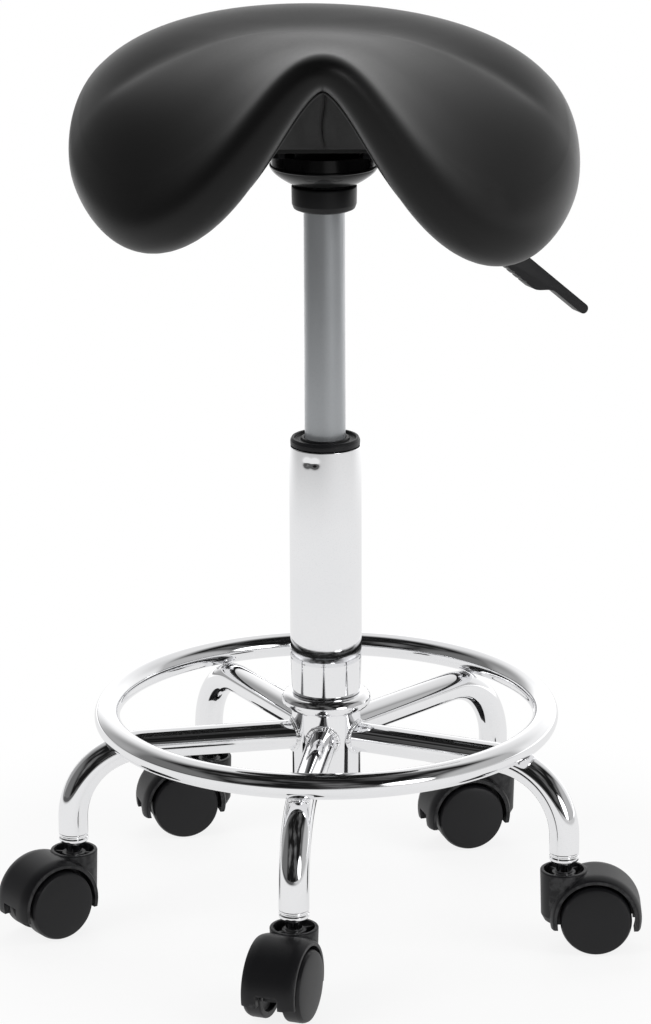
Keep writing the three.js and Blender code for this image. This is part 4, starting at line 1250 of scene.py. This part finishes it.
    def staples(self) -> Object:
        """Builds the row of wire staples that hold the dust cover to the pan."""
        angles = np.linspace(0.06, 2 * math.pi - 0.06, 400)
        share = self.pan_edge - 0.035
        lift = -self.pan_thickness - self.gap - self.cover_thickness
        points = self.form.loop(share, angles, lift - 1.1) * MM
        outward = -self.form.outward(share * np.sin(angles), -share * np.cos(angles))
        wire, width, leg = self.staple
        half, bend = width / 2, 0.8
        left = [(-half, -leg), (-half, -bend), (-half + bend, 0)]
        line = left + [(-x, z) for x, z in reversed(left)]
        staple = path_object("staple", [Vector((x, 0, z)) * MM for x, z in line])
        self.wardrobe.tube(staple, wire / 2, 8, Slot.ZINC_STEEL, capped=True)
        piece = path_object("cover_staples", points, lifts=outward)
        grow(piece, shared("row_on_path", row_tree), {
            "Part": staple, "Pitch": 0.026, "Wander": 0.22, "Seed": 5,
            "Finish": self.wardrobe.materials[Slot.ZINC_STEEL],
        })
        drop(staple)
        return self.wardrobe.fit(piece, Slot.ZINC_STEEL, "seat")

    def build(self) -> None:
        """Builds the seat's visible pieces."""
        self.cushion()
        self.welt()
        self.dust_cover()


# Mechanism, gas spring and column


def bend_points(start: float, radius: float, angle: float, steps: int) -> list[Vector]:
    """Returns points of a bend, from its start on the X axis down through an angle."""
    turns = [angle * t for t in np.linspace(0, 1, steps + 1)]
    return [Vector((start + radius * math.sin(a), 0, -radius * (1 - math.cos(a)))) for a in turns]


@dataclass
class Mechanism:
    """The moulded bowl and collar, and the lever."""

    wardrobe: Wardrobe
    collar_base: float = 500.4
    collar_radius: float = 22.1
    collar_height: float = 17.2
    collar_wall: float = 4.6
    bowl_height: float = 13.8
    rim_radius: float = 36.8
    bowl_wall: float = 2.0
    bowl_roundness: float = 0.4
    # Painted shade: the bowl's sleeve, from its rim up towards the plate, is a black piece where there is
    # only shadow under the seat.
    sleeve_radius: float = 35.8
    shade_sleeve_top: float = 540.7
    shade_sleeve_slot: tuple[float, float] = (11.0, 533.4)
    lever_azimuth: float = 25.0
    lever_radius: float = 4.0
    lever_inner: float = 5.0
    knee_at: float = 38.0
    knee_radius: float = 14.0
    fall: float = 40.0
    lever_length: float = 244.0
    lever_z: float = 538.4
    grip_length: float = 92.0
    grip_depth: float = 15.0
    grip_tip: float = 7.0
    grip_step: tuple[float, float] = (46.0, 16.0)
    grip_width: float = 13.0
    grip_hold: float = 40.0

    def collar(self) -> Object:
        """Builds the collar under the bowl."""
        low, r, inner = self.collar_base, self.collar_radius, self.collar_radius - self.collar_wall
        top = low + self.collar_height
        foot = [(inner, low + 0.4), (r - 4.5, low), (r - 1.4, low + 1.3), (r - 0.2, low + 4.6)]
        piece = lathe("mechanism_collar", [*foot, (r, top), (inner, top)], 1.6)
        return self.wardrobe.fit(piece, Slot.BLACK_NYLON, "seat", "socket_collar")

    def bowl(self) -> Object:
        """Builds the glossy bowl with its flared rim, and a black sleeve over the rim that is painted shade
        for the shadow under the seat.
        """
        low = self.collar_base + self.collar_height + 0.3
        r, rim, wall = self.collar_radius, self.rim_radius, self.bowl_wall
        inner = r - self.collar_wall
        top = low + self.bowl_height

        def flare(floor: float, edge: float, high: float) -> list[Point]:
            """Returns the flare from the collar up to an edge: a straight one, somewhat bowed."""
            made = []
            for turn in np.linspace(0, math.pi / 2, 19):
                out, bowed = math.sin(turn), 1 - math.cos(turn)
                rise = out + (bowed - out) * self.bowl_roundness
                made.append((r + (edge - r) * out, floor + (high - floor) * rise))
            return made

        # Painted shade: the black sleeve over the rim fills the shadow between the bowl and the dust cover.
        outer = self.sleeve_radius
        thin = outer - 1.5
        profile = [(inner, low), (r - 0.8, low), *flare(low + 0.7, rim - 0.6, top - 1.8), (rim, top - 1.3),
                   (rim, top), (outer, top), (outer, self.shade_sleeve_top), (thin, self.shade_sleeve_top),
                   *flare(low + wall + 0.7, thin, top - 1.0)[::-1], (inner, low + wall)]
        piece = lathe("mechanism_bowl_shell", profile, 0.5)
        width, sill = self.shade_sleeve_slot
        slot = block("lever_slot", (10.0, -width / 2, sill), (60.0, width / 2, self.shade_sleeve_top + 5.0))
        carve(piece, [(Carve.CUT, spin(slot, self.lever_azimuth))])
        return self.wardrobe.fit(piece, Slot.GLOSS_BLACK, "seat", "mechanism_bowl")

    def lever_line(self, length: float) -> list[Vector]:
        """Returns the lever rod's centre line in its own plane, along +X, in metres."""
        fall = math.radians(self.fall)
        points = [Vector((-self.lever_inner, 0, 0)), *bend_points(self.knee_at, self.knee_radius, fall, 12)]
        tail = length - self.knee_at - self.knee_radius * fall
        points.append(points[-1] + Vector((math.cos(fall), 0, -math.sin(fall))) * tail)
        return [(p + Vector((0, 0, self.lever_z))) * MM for p in points]

    def lever_rod(self) -> Object:
        """Builds the bent round rod of the lever."""
        line = self.lever_line(self.lever_length - self.grip_length + self.grip_hold)
        piece = path_object("lever_bent_rod", [turned(self.lever_azimuth) @ p for p in line])
        self.wardrobe.tube(piece, self.lever_radius, 40, Slot.BLACK_PAINT, capped=True)
        close_outwards(piece)
        soften(piece, 0.6)
        return self.wardrobe.fit(piece, Slot.BLACK_PAINT, "lever", "lever_rod")

    def grip(self) -> Object:
        """Builds the flat grip: deep at the hand, stepped down to a thin tip, with finger ridges."""
        top = self.lever_radius + 0.3 + 1.6
        length, depth, tip = self.grip_length, self.grip_depth, self.grip_tip
        step_at, step_length = self.grip_step
        lower = [(0.0, top - depth + 1.2), (1.2, top - depth), (step_at, top - depth)]
        for t in np.linspace(0, 1, 12)[1:]:
            lower.append((step_at + step_length * t, top - depth + (depth - tip) * ease(t)))
        end = length - tip / 2
        arc = [(end + tip / 2 * math.sin(a), top - tip / 2 - tip / 2 * math.cos(a))
               for a in np.linspace(0, math.pi, 13)]
        outline = [*lower, *arc, (1.2, top), (0.0, top - 1.2)]
        half = self.grip_width / 2
        count = len(outline)
        points = [(x * MM, y * MM, z * MM) for y in (-half, half) for x, z in outline]
        faces = [tuple(range(count)), tuple(reversed(range(count, 2 * count)))]
        faces += [(i, i + count, (i + 1) % count + count, (i + 1) % count) for i in range(count)]
        piece = piece_from("lever_grip", np.array(points), faces, smooth=False)
        cuts = []
        for i in range(6):
            groove = turn_to_y(rod("groove", 1.5, -half - 4, half + 4, 24))
            cuts.append((Carve.CUT, shift(groove, 8.0 + 6.0 * i, 0, top - depth - 0.9)))
        bore = rod("bore", self.lever_radius + 0.3, -4, self.grip_hold + 0.6, 48)
        carve(piece, [*cuts, (Carve.CUT, spin(bore, 90, "Y"))])
        soften(piece, 1.3, 3, 35)
        fall = math.radians(self.fall)
        tip_point = self.lever_line(self.lever_length)[-1]
        start = tip_point - Vector((math.cos(fall), 0, -math.sin(fall))) * length * MM
        piece.data.transform(turned(self.lever_azimuth) @ Matrix.Translation(start) @ turned(self.fall, "Y"))
        return self.wardrobe.fit(piece, Slot.BLACK_NYLON, "lever", "lever_handle")

    def build(self) -> None:
        """Builds the mechanism's visible pieces."""
        self.collar()
        self.bowl()
        self.lever_rod()
        self.grip()


@dataclass
class Column:
    """The chromed column, its bush and the gas cylinder."""

    wardrobe: Wardrobe
    radius: float = 24.75
    wall: float = 2.2
    foot_radius: float = 23.7
    foot_taper: float = 26.0
    seat_z: float = 160.3
    floor_z: float = 101.8
    top: float = 337.0
    neck: float = 20.9
    neck_wall: float = 2.4
    bush_top: float = 342.6
    cylinder_radius: float = 14.0
    cylinder_end: float = 260.6
    cylinder_top: float = 530.9
    tip_length: float = 34.0
    bore: float = 5.3
    flange: tuple[float, float] = (23.9, 3.2)
    dimples: tuple[float, ...] = (-120.0, -107.0, 0.0, 120.0)
    dimple_drop: float = 7.5
    dimple_depth: float = 0.8
    dimple_radius: float = 1.8

    def tube(self) -> Object:
        """Builds the outer column with stake marks under its top."""
        r, wall, seat, top = self.radius, self.wall, self.seat_z, self.top
        inner, foot, low = r - wall, self.foot_radius, self.floor_z
        neck, neck_inner = self.neck, self.neck - self.neck_wall
        straight = [(r, z) for z in np.arange(seat + self.foot_taper, top - 0.5, 1.2)]
        outside = [(self.bore, low), (neck, low), (neck, seat), (foot, seat), (foot + 0.25, seat + 3)]
        inside = [(inner, seat + 8.2), (neck_inner, seat + 6), (neck_inner, low + 5), (self.bore, low + 5)]
        profile = [*outside, *straight, (r, top), (inner, top), *inside]
        piece = lathe("column_tube", profile, 0.5, sides=144)
        points = np.array([v.co for v in piece.data.vertices]) / MM
        for degrees in self.dimples:
            a = math.radians(degrees)
            way = np.array([math.cos(a), math.sin(a), 0.0])
            far = np.linalg.norm(points - way * r - (0, 0, top - self.dimple_drop), axis=1)
            press = self.dimple_depth * np.exp(-((far / self.dimple_radius) ** 2))
            on_wall = np.hypot(points[:, 0], points[:, 1]) > r - 0.4
            points -= way * (press * on_wall)[:, None]
        piece.data.vertices.foreach_set("co", (points * MM).astype(np.float32).ravel())
        piece.data.update()
        return self.wardrobe.fit(piece, Slot.CHROME, "base", "outer_column")

    def bush(self) -> Object:
        """Builds the black bush that guides the gas cylinder."""
        bore, body, top = self.cylinder_radius + 0.3, self.radius - self.wall - 0.3, self.bush_top
        low, seat = self.top - 44, self.top + 0.3
        rim, height = self.flange
        outside = [(bore, low), (body, low), (body, seat), (rim, seat), (rim, seat + height), (rim - 1, top)]
        groove = [(rim - 2.6, top), (rim - 3.2, top - 1.9), (bore + 2.5, top - 1.9), (bore + 1.9, top)]
        piece = lathe("column_bush_cap", [*outside, *groove, (bore, top)], 0.6)
        return self.wardrobe.fit(piece, Slot.BLACK_NYLON, "base", "column_bush")

    def cylinder(self) -> Object:
        """Builds the gas cylinder with its tapered head."""
        r, top, end = self.cylinder_radius, self.cylinder_top, self.cylinder_end
        taper = top - self.tip_length
        outside = [(self.bore, end), (r, end), (r, taper), (13, top), (2.8, top)]
        inside = [(2.8, top - 8), (11, top - 8), (12, taper - 8), (12, end + 8), (self.bore, end + 8)]
        piece = lathe("gas_cylinder_tube", outside + inside, 0.6)
        return self.wardrobe.fit(piece, Slot.SATIN_STEEL, "seat", "gas_cylinder")

    def build(self) -> None:
        """Builds the column's visible pieces."""
        self.tube()
        self.bush()
        self.cylinder()


# Base


@dataclass
class Base:
    """The hub, the five bent legs, the foot ring and their welds."""

    wardrobe: Wardrobe
    stem_circle: float = 179.0
    turn: float = -7.0
    leg_radius: float = 10.25
    leg_wall: float = 1.5
    bend: float = 50.0
    leg_start: float = 21.45
    spoke_z: float = 129.3
    leg_end: float = 68.8
    ring_radius: float = 152.5
    ring_tube: float = 8.75
    ring_z: float = 144.5
    hub_radius: float = 24.0
    hub_wall: float = 2.8
    hub_z: float = 97.8
    hub_top: float = 160.0
    rim_radius: float = 31.0
    roll: float = 5.4

    def hub(self) -> Object:
        """Builds the hub with its rolled rim."""
        r, bore, top, rim = self.hub_radius, self.hub_radius - self.hub_wall, self.hub_top, self.rim_radius
        low = top - 2 * self.roll
        roll = []
        for a in np.linspace(-math.pi / 2, math.pi / 2, 17):
            roll.append((rim - self.roll * (1 - math.cos(a)), top - self.roll * (1 - math.sin(a))))
        sleeve = [(bore, self.hub_z), (r, self.hub_z), (r, low - 1.5), (r + 0.5, low)]
        piece = lathe("hub_sleeve", [*sleeve, *roll, (bore + 1.6, top), (bore, top - 1)], 1.2)
        return self.wardrobe.fit(piece, Slot.CHROME, "base", "hub")

    def leg_line(self) -> list[Vector]:
        """Returns a leg's centre line in its own plane, out along +X and down, in metres."""
        bend = bend_points(self.stem_circle - self.bend, self.bend, math.pi / 2, 24)
        level = Vector((0, 0, self.spoke_z))
        end = Vector((self.stem_circle, 0, self.leg_end))
        return [p * MM for p in (Vector((self.leg_start, 0, 0)) + level, *[p + level for p in bend], end)]

    def leg_turn(self, index: int) -> Matrix:
        """Returns the turn of a leg about the column."""
        return turned(self.turn + 72 * index - 90)

    def legs(self) -> None:
        """Builds the five legs."""
        for index, place in enumerate(PLACES):
            turn = self.leg_turn(index)
            piece = path_object(f"bent_leg_{place}", [turn @ p for p in self.leg_line()])
            self.wardrobe.tube(piece, self.leg_radius, 56, Slot.CHROME)
            wall = piece.modifiers.new("wall", "SOLIDIFY")
            wall.thickness = self.leg_wall * MM
            wall.offset = -1
            bake(piece)
            close_outwards(piece)
            piece.data.shade_smooth()
            piece.data.set_sharp_from_angle(angle=math.radians(50))
            self.wardrobe.fit(piece, Slot.CHROME, "base", f"leg_{place}")

    def ring(self) -> Object:
        """Builds the foot ring."""
        r, z = self.ring_radius, self.ring_z
        line = [Vector((r * math.cos(a), r * math.sin(a), z)) * MM for a in around(192)]
        piece = path_object("foot_ring_tube", line, closed=True)
        self.wardrobe.tube(piece, self.ring_tube, 48, Slot.CHROME)
        close_outwards(piece)
        piece.data.shade_smooth()
        return self.wardrobe.fit(piece, Slot.CHROME, "base", "foot_ring")

    def welds(self) -> Object:
        """Builds the weld beads: for each leg a closed one at the hub and two short ones at the foot ring."""
        loops: list[list[Vector]] = []
        for index in range(len(PLACES)):
            turn = self.leg_turn(index)
            seam = []
            for a in around(48):
                y = (self.leg_radius + 0.4) * math.cos(a)
                z = (self.leg_radius + 0.4) * math.sin(a)
                x = math.sqrt(self.hub_radius**2 - y * y)
                seam.append(turn @ (Vector((x, y, self.spoke_z + z)) * MM))
            loops.append(seam)
            for side in (-1, 1):
                loops.append([turn @ p for p in self.ring_seam(side)])
        points, edges = [], []
        for number, seam in enumerate(loops):
            edges += chain(len(points), len(seam), closed=number % 3 == 0)
            points += seam
        piece = path_object("weld_beads", points, edges=edges)
        grow(piece, shared("weld_bead", bead_tree), {
            "Pitch": 0.0011, "Radius": 0.0017, "Unevenness": 0.12, "Seed": 7,
            "Finish": self.wardrobe.materials[Slot.CHROME],
        })
        return self.wardrobe.fit(piece, Slot.CHROME, "base")

    def ring_seam(self, side: int) -> list[Vector]:
        """Returns the short line of weld on one side of the ring's seat on a leg, in metres."""
        bend_at = self.stem_circle - self.bend
        centre = Vector((bend_at, 0, self.spoke_z - self.bend))
        ring = Vector((self.ring_radius, 0, self.ring_z))
        out = (ring - centre).normalized()
        touch = centre + out * (self.bend + self.leg_radius)
        along = Vector((out.z, 0, -out.x))
        return [(touch + along * side * 3.4 + Vector((0, t, 0)) - out * (1.2 + t * t / 22)) * MM
                for t in np.linspace(-5.5, 5.5, 12)]

    def build(self) -> None:
        """Builds the base."""
        self.hub()
        self.legs()
        self.ring()
        self.welds()


# Casters


@dataclass
class Casters:
    """Five twin-wheel casters with their hoods and stems.

    The tools that cut the two wheel pockets are turned against each other by pocket_turn, in degrees, and
    differ a little in size, because two that lie exactly in line aren't both cut.
    """

    wardrobe: Wardrobe
    trails: tuple[float, ...] = (-20.0, 88.0, -74.0, -76.0, -53.5)
    stem_circle: float = 179.0
    turn: float = -7.0
    wheel_radius: float = 24.5
    wheel_width: float = 14.0
    trail: float = 22.0
    hood_radius: float = 31.5
    side_radius: float = 29.4
    side_width: float = 37.0
    crown_width: float = 22.0
    web: float = 14.4
    wheel_room: float = 2.3
    pocket_turn: float = 0.65
    pocket_change: float = 0.01
    hem: float = 17.5
    notch: tuple[float, float, float] = (14.0, 15.0, 26.0)
    housing_radius: float = 16.3
    housing_foot: float = 10.0
    wall: float = 2.4
    boss_radius: float = 8.0
    boss_drop: float = 2.0
    recess: float = 15.0
    ribs: int = 4
    stem_radius: float = 5.5
    stem_depth: float = 20.0
    collar_z: float = 62.5
    collar_height: float = 6.0
    collar_radius: float = 10.2
    sleeve: float = 14.0
    sleeve_radius: float = 7.6

    def hood(self) -> Object:
        """Builds the hood at the origin, trailing towards +X."""
        r, side, half = self.hood_radius, self.side_radius, self.side_width / 2
        top, crown = self.wheel_radius + r, self.crown_width / 2
        arch = []
        for width in np.linspace(-half, half, 25):
            beyond = max(abs(width) - crown, 0.0) / (half - crown)
            arch.append((side + (r - side) * (1 - beyond**2), width))
        fender = lathe("hood", [(0, -half), *arch, (0, half)], 2.2, False, 112)
        shift(turn_to_y(fender), self.trail, 0, self.wheel_radius)
        foot, under = self.housing_foot, self.housing_radius - self.housing_foot
        outer, low = self.housing_radius, self.hem
        flare = [(foot, low - 0.02), (foot + under / 2, low + under / 3), (outer - 0.9, low + under)]
        housing = lathe("housing", [(0, low - 0.02), *flare, (outer, top), (0, top)], 1.1, False, 80)
        hem = block("hem", (-80, -40, -60), (90, 40, self.hem))
        over = top + 2
        inner = self.housing_radius - self.wall
        boss, floor = self.boss_radius, top - self.recess
        cup = lathe("cup", [(boss, floor), (inner, floor), (inner, over), (boss, over)], 0.0, True, 80)
        room = turn_to_y(rod("room", self.wheel_radius + self.wheel_room + self.wall, -60, 60, 96))
        keep = [(Carve.CUT, shift(room, self.trail, 0, self.wheel_radius))]
        for i in range(self.ribs // 2):
            rib = block("rib", (-40, -0.8, floor - 4), (40, 0.8, top - self.boss_drop))
            keep.append((Carve.CUT, spin(rib, 45 + 90 * i)))
        carve(cup, keep)
        rim = rod("rim", inner, top - self.boss_drop, over, 80)
        bore = rod("bore", self.stem_radius + 0.3, top - self.stem_depth - 0.3, over, 48)
        pocket_radius = self.wheel_radius + self.wheel_room
        pockets = []
        for hand in (-1, 1):
            low, high = sorted((hand * self.web / 2, hand * (half + 3)))
            pocket = rod("pocket", pocket_radius + hand * self.pocket_change, low, high, 112)
            spin(turn_to_y(pocket), self.pocket_turn * hand, "Y")
            pockets.append((Carve.CUT, shift(pocket, self.trail, 0, self.wheel_radius)))
        depth, width, height = self.notch
        front = self.trail + r
        mouth = block("notch", (front - depth, -width / 2, -5), (front + 4, width / 2, height))
        carve(fender, [(Carve.ADD, housing), (Carve.CUT, hem), (Carve.CUT, cup), (Carve.CUT, rim),
                       (Carve.CUT, bore), *pockets, (Carve.CUT, mouth)])
        soften(fender, 0.55, 2, 32)
        return fender

    def wheel(self) -> Object:
        """Builds one wheel about Z: its inner side at zero, its domed face up."""
        r, w = self.wheel_radius, self.wheel_width
        face = [(r * math.sin(t), w - 2.4 + 2.4 * math.cos(t) ** 0.8) for t in np.linspace(1.25, 0.0, 12)]
        hub = [(0, w - 3), (3.1, w - 3), (3.1, 0), (7, 0), (8.7, 3.4)]
        tread = [(r - 5.2, 3.4), (r - 4.2, 0), (r - 0.5, 0), (r, 1.0), (r, w - 4.4), (r - 0.35, w - 3.2)]
        return lathe("wheel", [*hub, *tread, *face], 0.7, False, 112)

    def stem(self) -> Object:
        """Builds the stem with its chromed collar."""
        top = self.wheel_radius + self.hood_radius
        z, r, low = self.collar_z, self.collar_radius, top - self.stem_depth
        shoulder, end = z + self.collar_height, z + self.collar_height + self.sleeve
        pin, sleeve = self.stem_radius, self.sleeve_radius
        shank = [(0, low), (pin, low), (pin, z - 1.4), (pin + 1.2, z), (r - 0.8, z)]
        groove = [(r, z + 0.9), (r, z + 2.6), (r - 0.75, z + 3.4), (r - 0.75, z + 4.1), (r - 0.1, z + 4.8)]
        top_end = [(r - 0.1, shoulder), (sleeve, shoulder), (sleeve, end), (0, end)]
        return lathe("stem", [*shank, *groove, *top_end], 0.35, False, 80)

    def build(self) -> None:
        """Builds the casters at their places."""
        hood, stem, wheel = self.hood(), self.stem(), self.wheel()
        fit = self.wardrobe.fit
        for index, place in enumerate(PLACES):
            leg = math.radians(self.turn + 72 * index)
            spot = Vector((math.sin(leg), -math.cos(leg), 0)) * self.stem_circle * MM
            at = Matrix.Translation(spot) @ turned(self.trails[index] - 90)
            cover = copy_at(hood, f"hood_{place}", at)
            fit(cover, Slot.BLACK_NYLON, f"caster_{place}", f"caster_hood_{place}")
            fit(copy_at(stem, f"stem_{place}", at), Slot.CHROME, "base", f"caster_stem_{place}")
            for hand, side in (("left", 1), ("right", -1)):
                out = Vector((self.trail, side * (self.web / 2 + 0.3), self.wheel_radius)) * MM
                spot = at @ Matrix.Translation(out) @ turned(-90 * side, "X")
                disc = copy_at(wheel, f"disc_{hand}_{place}", spot)
                node = f"wheel_{hand}_{place}"
                fit(disc, Slot.BLACK_NYLON, node, node)
        drop(hood, stem, wheel)


# What stays as it is in the frame


@dataclass
class Kept:
    """The frame's own nodes that show, each with its slot's material and rounded edges; the flange screws get
    painted-shade black instead.
    """

    wardrobe: Wardrobe
    edge: float = 0.3
    shade_black: Finish = SHADE_BLACK_STEEL

    def build(self) -> None:
        """Dresses every node that nothing replaces; the flange screws get near-black steel, painted shade for
        the shadow under the seat.
        """
        shade_black = self.shade_black.build()
        slots = {row["node"]: row["material_slot"] for row in frame["record"]["subparts"]}
        for name, node in frame["nodes"].items():
            if node.hide_render:
                continue
            material = self.wardrobe.materials[Slot(slots[name])]
            # Painted shade: the flange screws are darkened to the shadow under the seat.
            if name.startswith("flange_screw"):
                material = shade_black
            if not node.data.materials:
                node.data.materials.append(material)
            for index in range(len(node.material_slots)):
                node.material_slots[index].material = material
            weld = node.modifiers.new("merge", "WELD")
            weld.merge_threshold = 1e-6
            bevel = node.modifiers.new("edge", "BEVEL")
            bevel.width = self.edge * MM
            bevel.segments = 2
            bevel.limit_method = "ANGLE"
            bevel.angle_limit = math.radians(40)
            LOG.info("%s keeps its shape", name)


# The studio


@dataclass
class Studio:
    """The pale floor, the soft lamps, the room that metal mirrors, and the camera."""

    eye: tuple[float, float, float] = (0.0, -2.6, 1.04488)
    pitch: float = 0.283
    roll: float = -0.004
    lens: float = 138.646
    floor_reach: float = 30.0
    ambient: float = 0.55
    floor_shadow: float = 0.15
    shadow_reach: tuple[float, float] = (0.26, 0.42)
    near_floor: float = 0.85
    far_left_floor: float = 0.1
    far_right_floor: float = 0.6
    rear_level: float = 1.6
    roof_level: float = 1.0
    left_fade: float = 0.3
    right_fade: float = 0.7
    left_wall: float = 0.2
    right_wall: float = 0.6
    front_wall: float = 0.012
    front_patches: float = 0.22
    window: tuple[float, float, float] = (0.63, -0.75, 0.2)
    window_level: float = 6.0

    def camera(self) -> None:
        """Sets the camera at the photograph's viewing angle."""
        data = bpy.data.cameras.new("camera")
        data.lens, data.sensor_width = self.lens, 36.0
        data.clip_start, data.clip_end = 0.05, 100.0
        camera = new_object("camera", data)
        tilt = Matrix.Rotation(math.pi / 2 - self.pitch, 4, "X") @ Matrix.Rotation(self.roll, 4, "Z")
        camera.matrix_world = Matrix.Translation(self.eye) @ tilt
        bpy.context.scene.camera = camera

    def floor(self) -> None:
        """Lays the pale floor, white to the camera and in mirrors, with a faint shadow, clear from below."""
        reach = self.floor_reach
        points = np.array([(-reach, -reach, 0), (reach, -reach, 0), (reach, reach, 0), (-reach, reach, 0)])
        mesh = bpy.data.meshes.new("floor")
        mesh.from_pydata([tuple(p) for p in points - np.array([0, 0, 0.0002])], [], [(0, 1, 2, 3)])
        floor = new_object("floor", mesh)
        material = bpy.data.materials.new("floor")
        sheet = cleared(material)
        diffuse = sheet.add("ShaderNodeBsdfDiffuse", {"Color": (0.86, 0.86, 0.86, 1.0)})
        where = sheet.place()
        far = sheet.add("ShaderNodeVectorMath", {0: where}, operation="LENGTH").outputs["Value"]
        parts = sheet.add("ShaderNodeSeparateXYZ", {0: where})
        front = sheet.remap(parts.outputs["X"], -0.6, 1.0, self.far_left_floor, self.far_right_floor)
        rear = sheet.remap(parts.outputs["X"], -2.5, -0.4, self.left_fade, self.rear_level)
        turn = sheet.remap(parts.outputs["Y"], 0.0, 1.4)
        away = sheet.plus(front, sheet.times(turn, sheet.less(rear, front)))
        fade = sheet.remap(far, 0.9, 1.7)
        level = sheet.plus(self.near_floor, sheet.times(fade, sheet.less(away, self.near_floor)))
        rays = sheet.add("ShaderNodeLightPath")
        camera = rays.outputs["Is Camera Ray"]
        level = sheet.plus(camera, sheet.times(level, sheet.less(1.0, camera)))
        white = sheet.add("ShaderNodeEmission", {"Strength": level})
        seen = sheet.most(camera, rays.outputs["Is Glossy Ray"], rays.outputs["Is Transmission Ray"])
        shadow = sheet.remap(far, self.shadow_reach[0], self.shadow_reach[1], self.floor_shadow, 0.0)
        share = sheet.times(seen, sheet.less(1.0, shadow))
        above = sheet.blend(share, diffuse.outputs[0], white.outputs[0])
        below = sheet.add("ShaderNodeNewGeometry").outputs["Backfacing"]
        clear = sheet.add("ShaderNodeBsdfTransparent")
        sheet.add("ShaderNodeOutputMaterial", {"Surface": sheet.blend(below, above, clear.outputs[0])})
        mesh.materials.append(material)

    def room(self) -> None:
        """Makes the world: white to the camera, soft for light, and a studio with a dark roof for mirrors."""
        world = bpy.data.worlds.new("room")
        bpy.context.scene.world = world
        sheet = cleared(world)
        way = sheet.add("ShaderNodeTexCoord").outputs["Generated"]
        parts = sheet.add("ShaderNodeSeparateXYZ", {0: way})
        x, y, z = (parts.outputs[axis] for axis in "XYZ")
        height = sheet.remap(z, 0.15, 0.7, self.rear_level, self.roof_level)
        behind = sheet.times(sheet.remap(y, 0.02, 0.4), height)
        behind = sheet.times(behind, sheet.remap(x, -0.75, -0.25, self.left_fade, 1.0))
        behind = sheet.times(behind, sheet.remap(x, 0.35, 0.9, 1.0, self.right_fade))
        side = sheet.remap(x, -1.0, 1.0, self.left_wall, self.right_wall)
        side = sheet.times(side, sheet.remap(sheet.math("ABSOLUTE", x), 0.7, 0.88))
        toward = sheet.add("ShaderNodeVectorMath", {0: way, 1: self.window}, operation="DOT_PRODUCT")
        window = sheet.remap(toward.outputs["Value"], 0.965, 0.995, 0.0, self.window_level)
        patches = sheet.remap(sheet.noise(way, 2.6, 3.0), 0.45, 0.75, self.front_wall, self.front_patches)
        level = sheet.most(behind, side, patches, window)
        mirror = sheet.add("ShaderNodeBackground", {"Strength": level})
        soft = sheet.add("ShaderNodeBackground", {"Strength": self.ambient})
        white = sheet.add("ShaderNodeBackground", {"Color": (1.0, 1.0, 1.0, 1.0), "Strength": 1.0})
        rays = sheet.add("ShaderNodeLightPath")
        unseen = sheet.blend(rays.outputs["Is Glossy Ray"], soft.outputs[0], mirror.outputs[0])
        seen = sheet.most(rays.outputs["Is Camera Ray"], rays.outputs["Is Transmission Ray"])
        sheet.add("ShaderNodeOutputWorld", {"Surface": sheet.blend(seen, unseen, white.outputs[0])})
        if hasattr(world, "cycles"):
            world.cycles.sampling_method = "NONE"

    def lamp(self, name: str, spot: tuple, aim: tuple, size: float, power: float) -> None:
        """Hangs a square soft lamp that metal doesn't show.

        Args:
            name: The lamp's name.
            spot: Where it hangs.
            aim: What it points at.
            size: Its side.
            power: Its power in watts.
        """
        data = bpy.data.lights.new(name, "AREA")
        data.shape, data.size, data.energy = "SQUARE", size, power
        light = new_object(name, data)
        light.visible_glossy = False
        turn = (Vector(aim) - Vector(spot)).to_track_quat("-Z", "Y").to_matrix().to_4x4()
        light.matrix_world = Matrix.Translation(spot) @ turn

    def build(self) -> None:
        """Builds the studio."""
        self.camera()
        self.floor()
        self.room()
        self.lamp("left_lamp", (-2.2, -1.2, 2.0), (0, 0, 0.4), 1.6, 32.0)
        self.lamp("right_lamp", (2.2, -0.9, 1.9), (0, 0, 0.4), 1.6, 26.0)
        self.lamp("back_lamp", (0.0, 2.2, 2.4), (0, 0, 0.5), 1.8, 30.0)
        bpy.context.scene.view_settings.view_transform = "Standard"


def main() -> None:
    """Builds the studio and every piece, in order."""
    logging.basicConfig(level=logging.INFO, format="%(message)s")
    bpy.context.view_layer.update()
    Studio().build()
    wardrobe = Wardrobe(FINISHES)
    seat = Seat(wardrobe)
    seat.build()
    Mechanism(wardrobe).build()
    Column(wardrobe).build()
    Base(wardrobe).build()
    Casters(wardrobe).build()
    seat.staples()
    Kept(wardrobe).build()


if __name__ == "__main__":
    main()
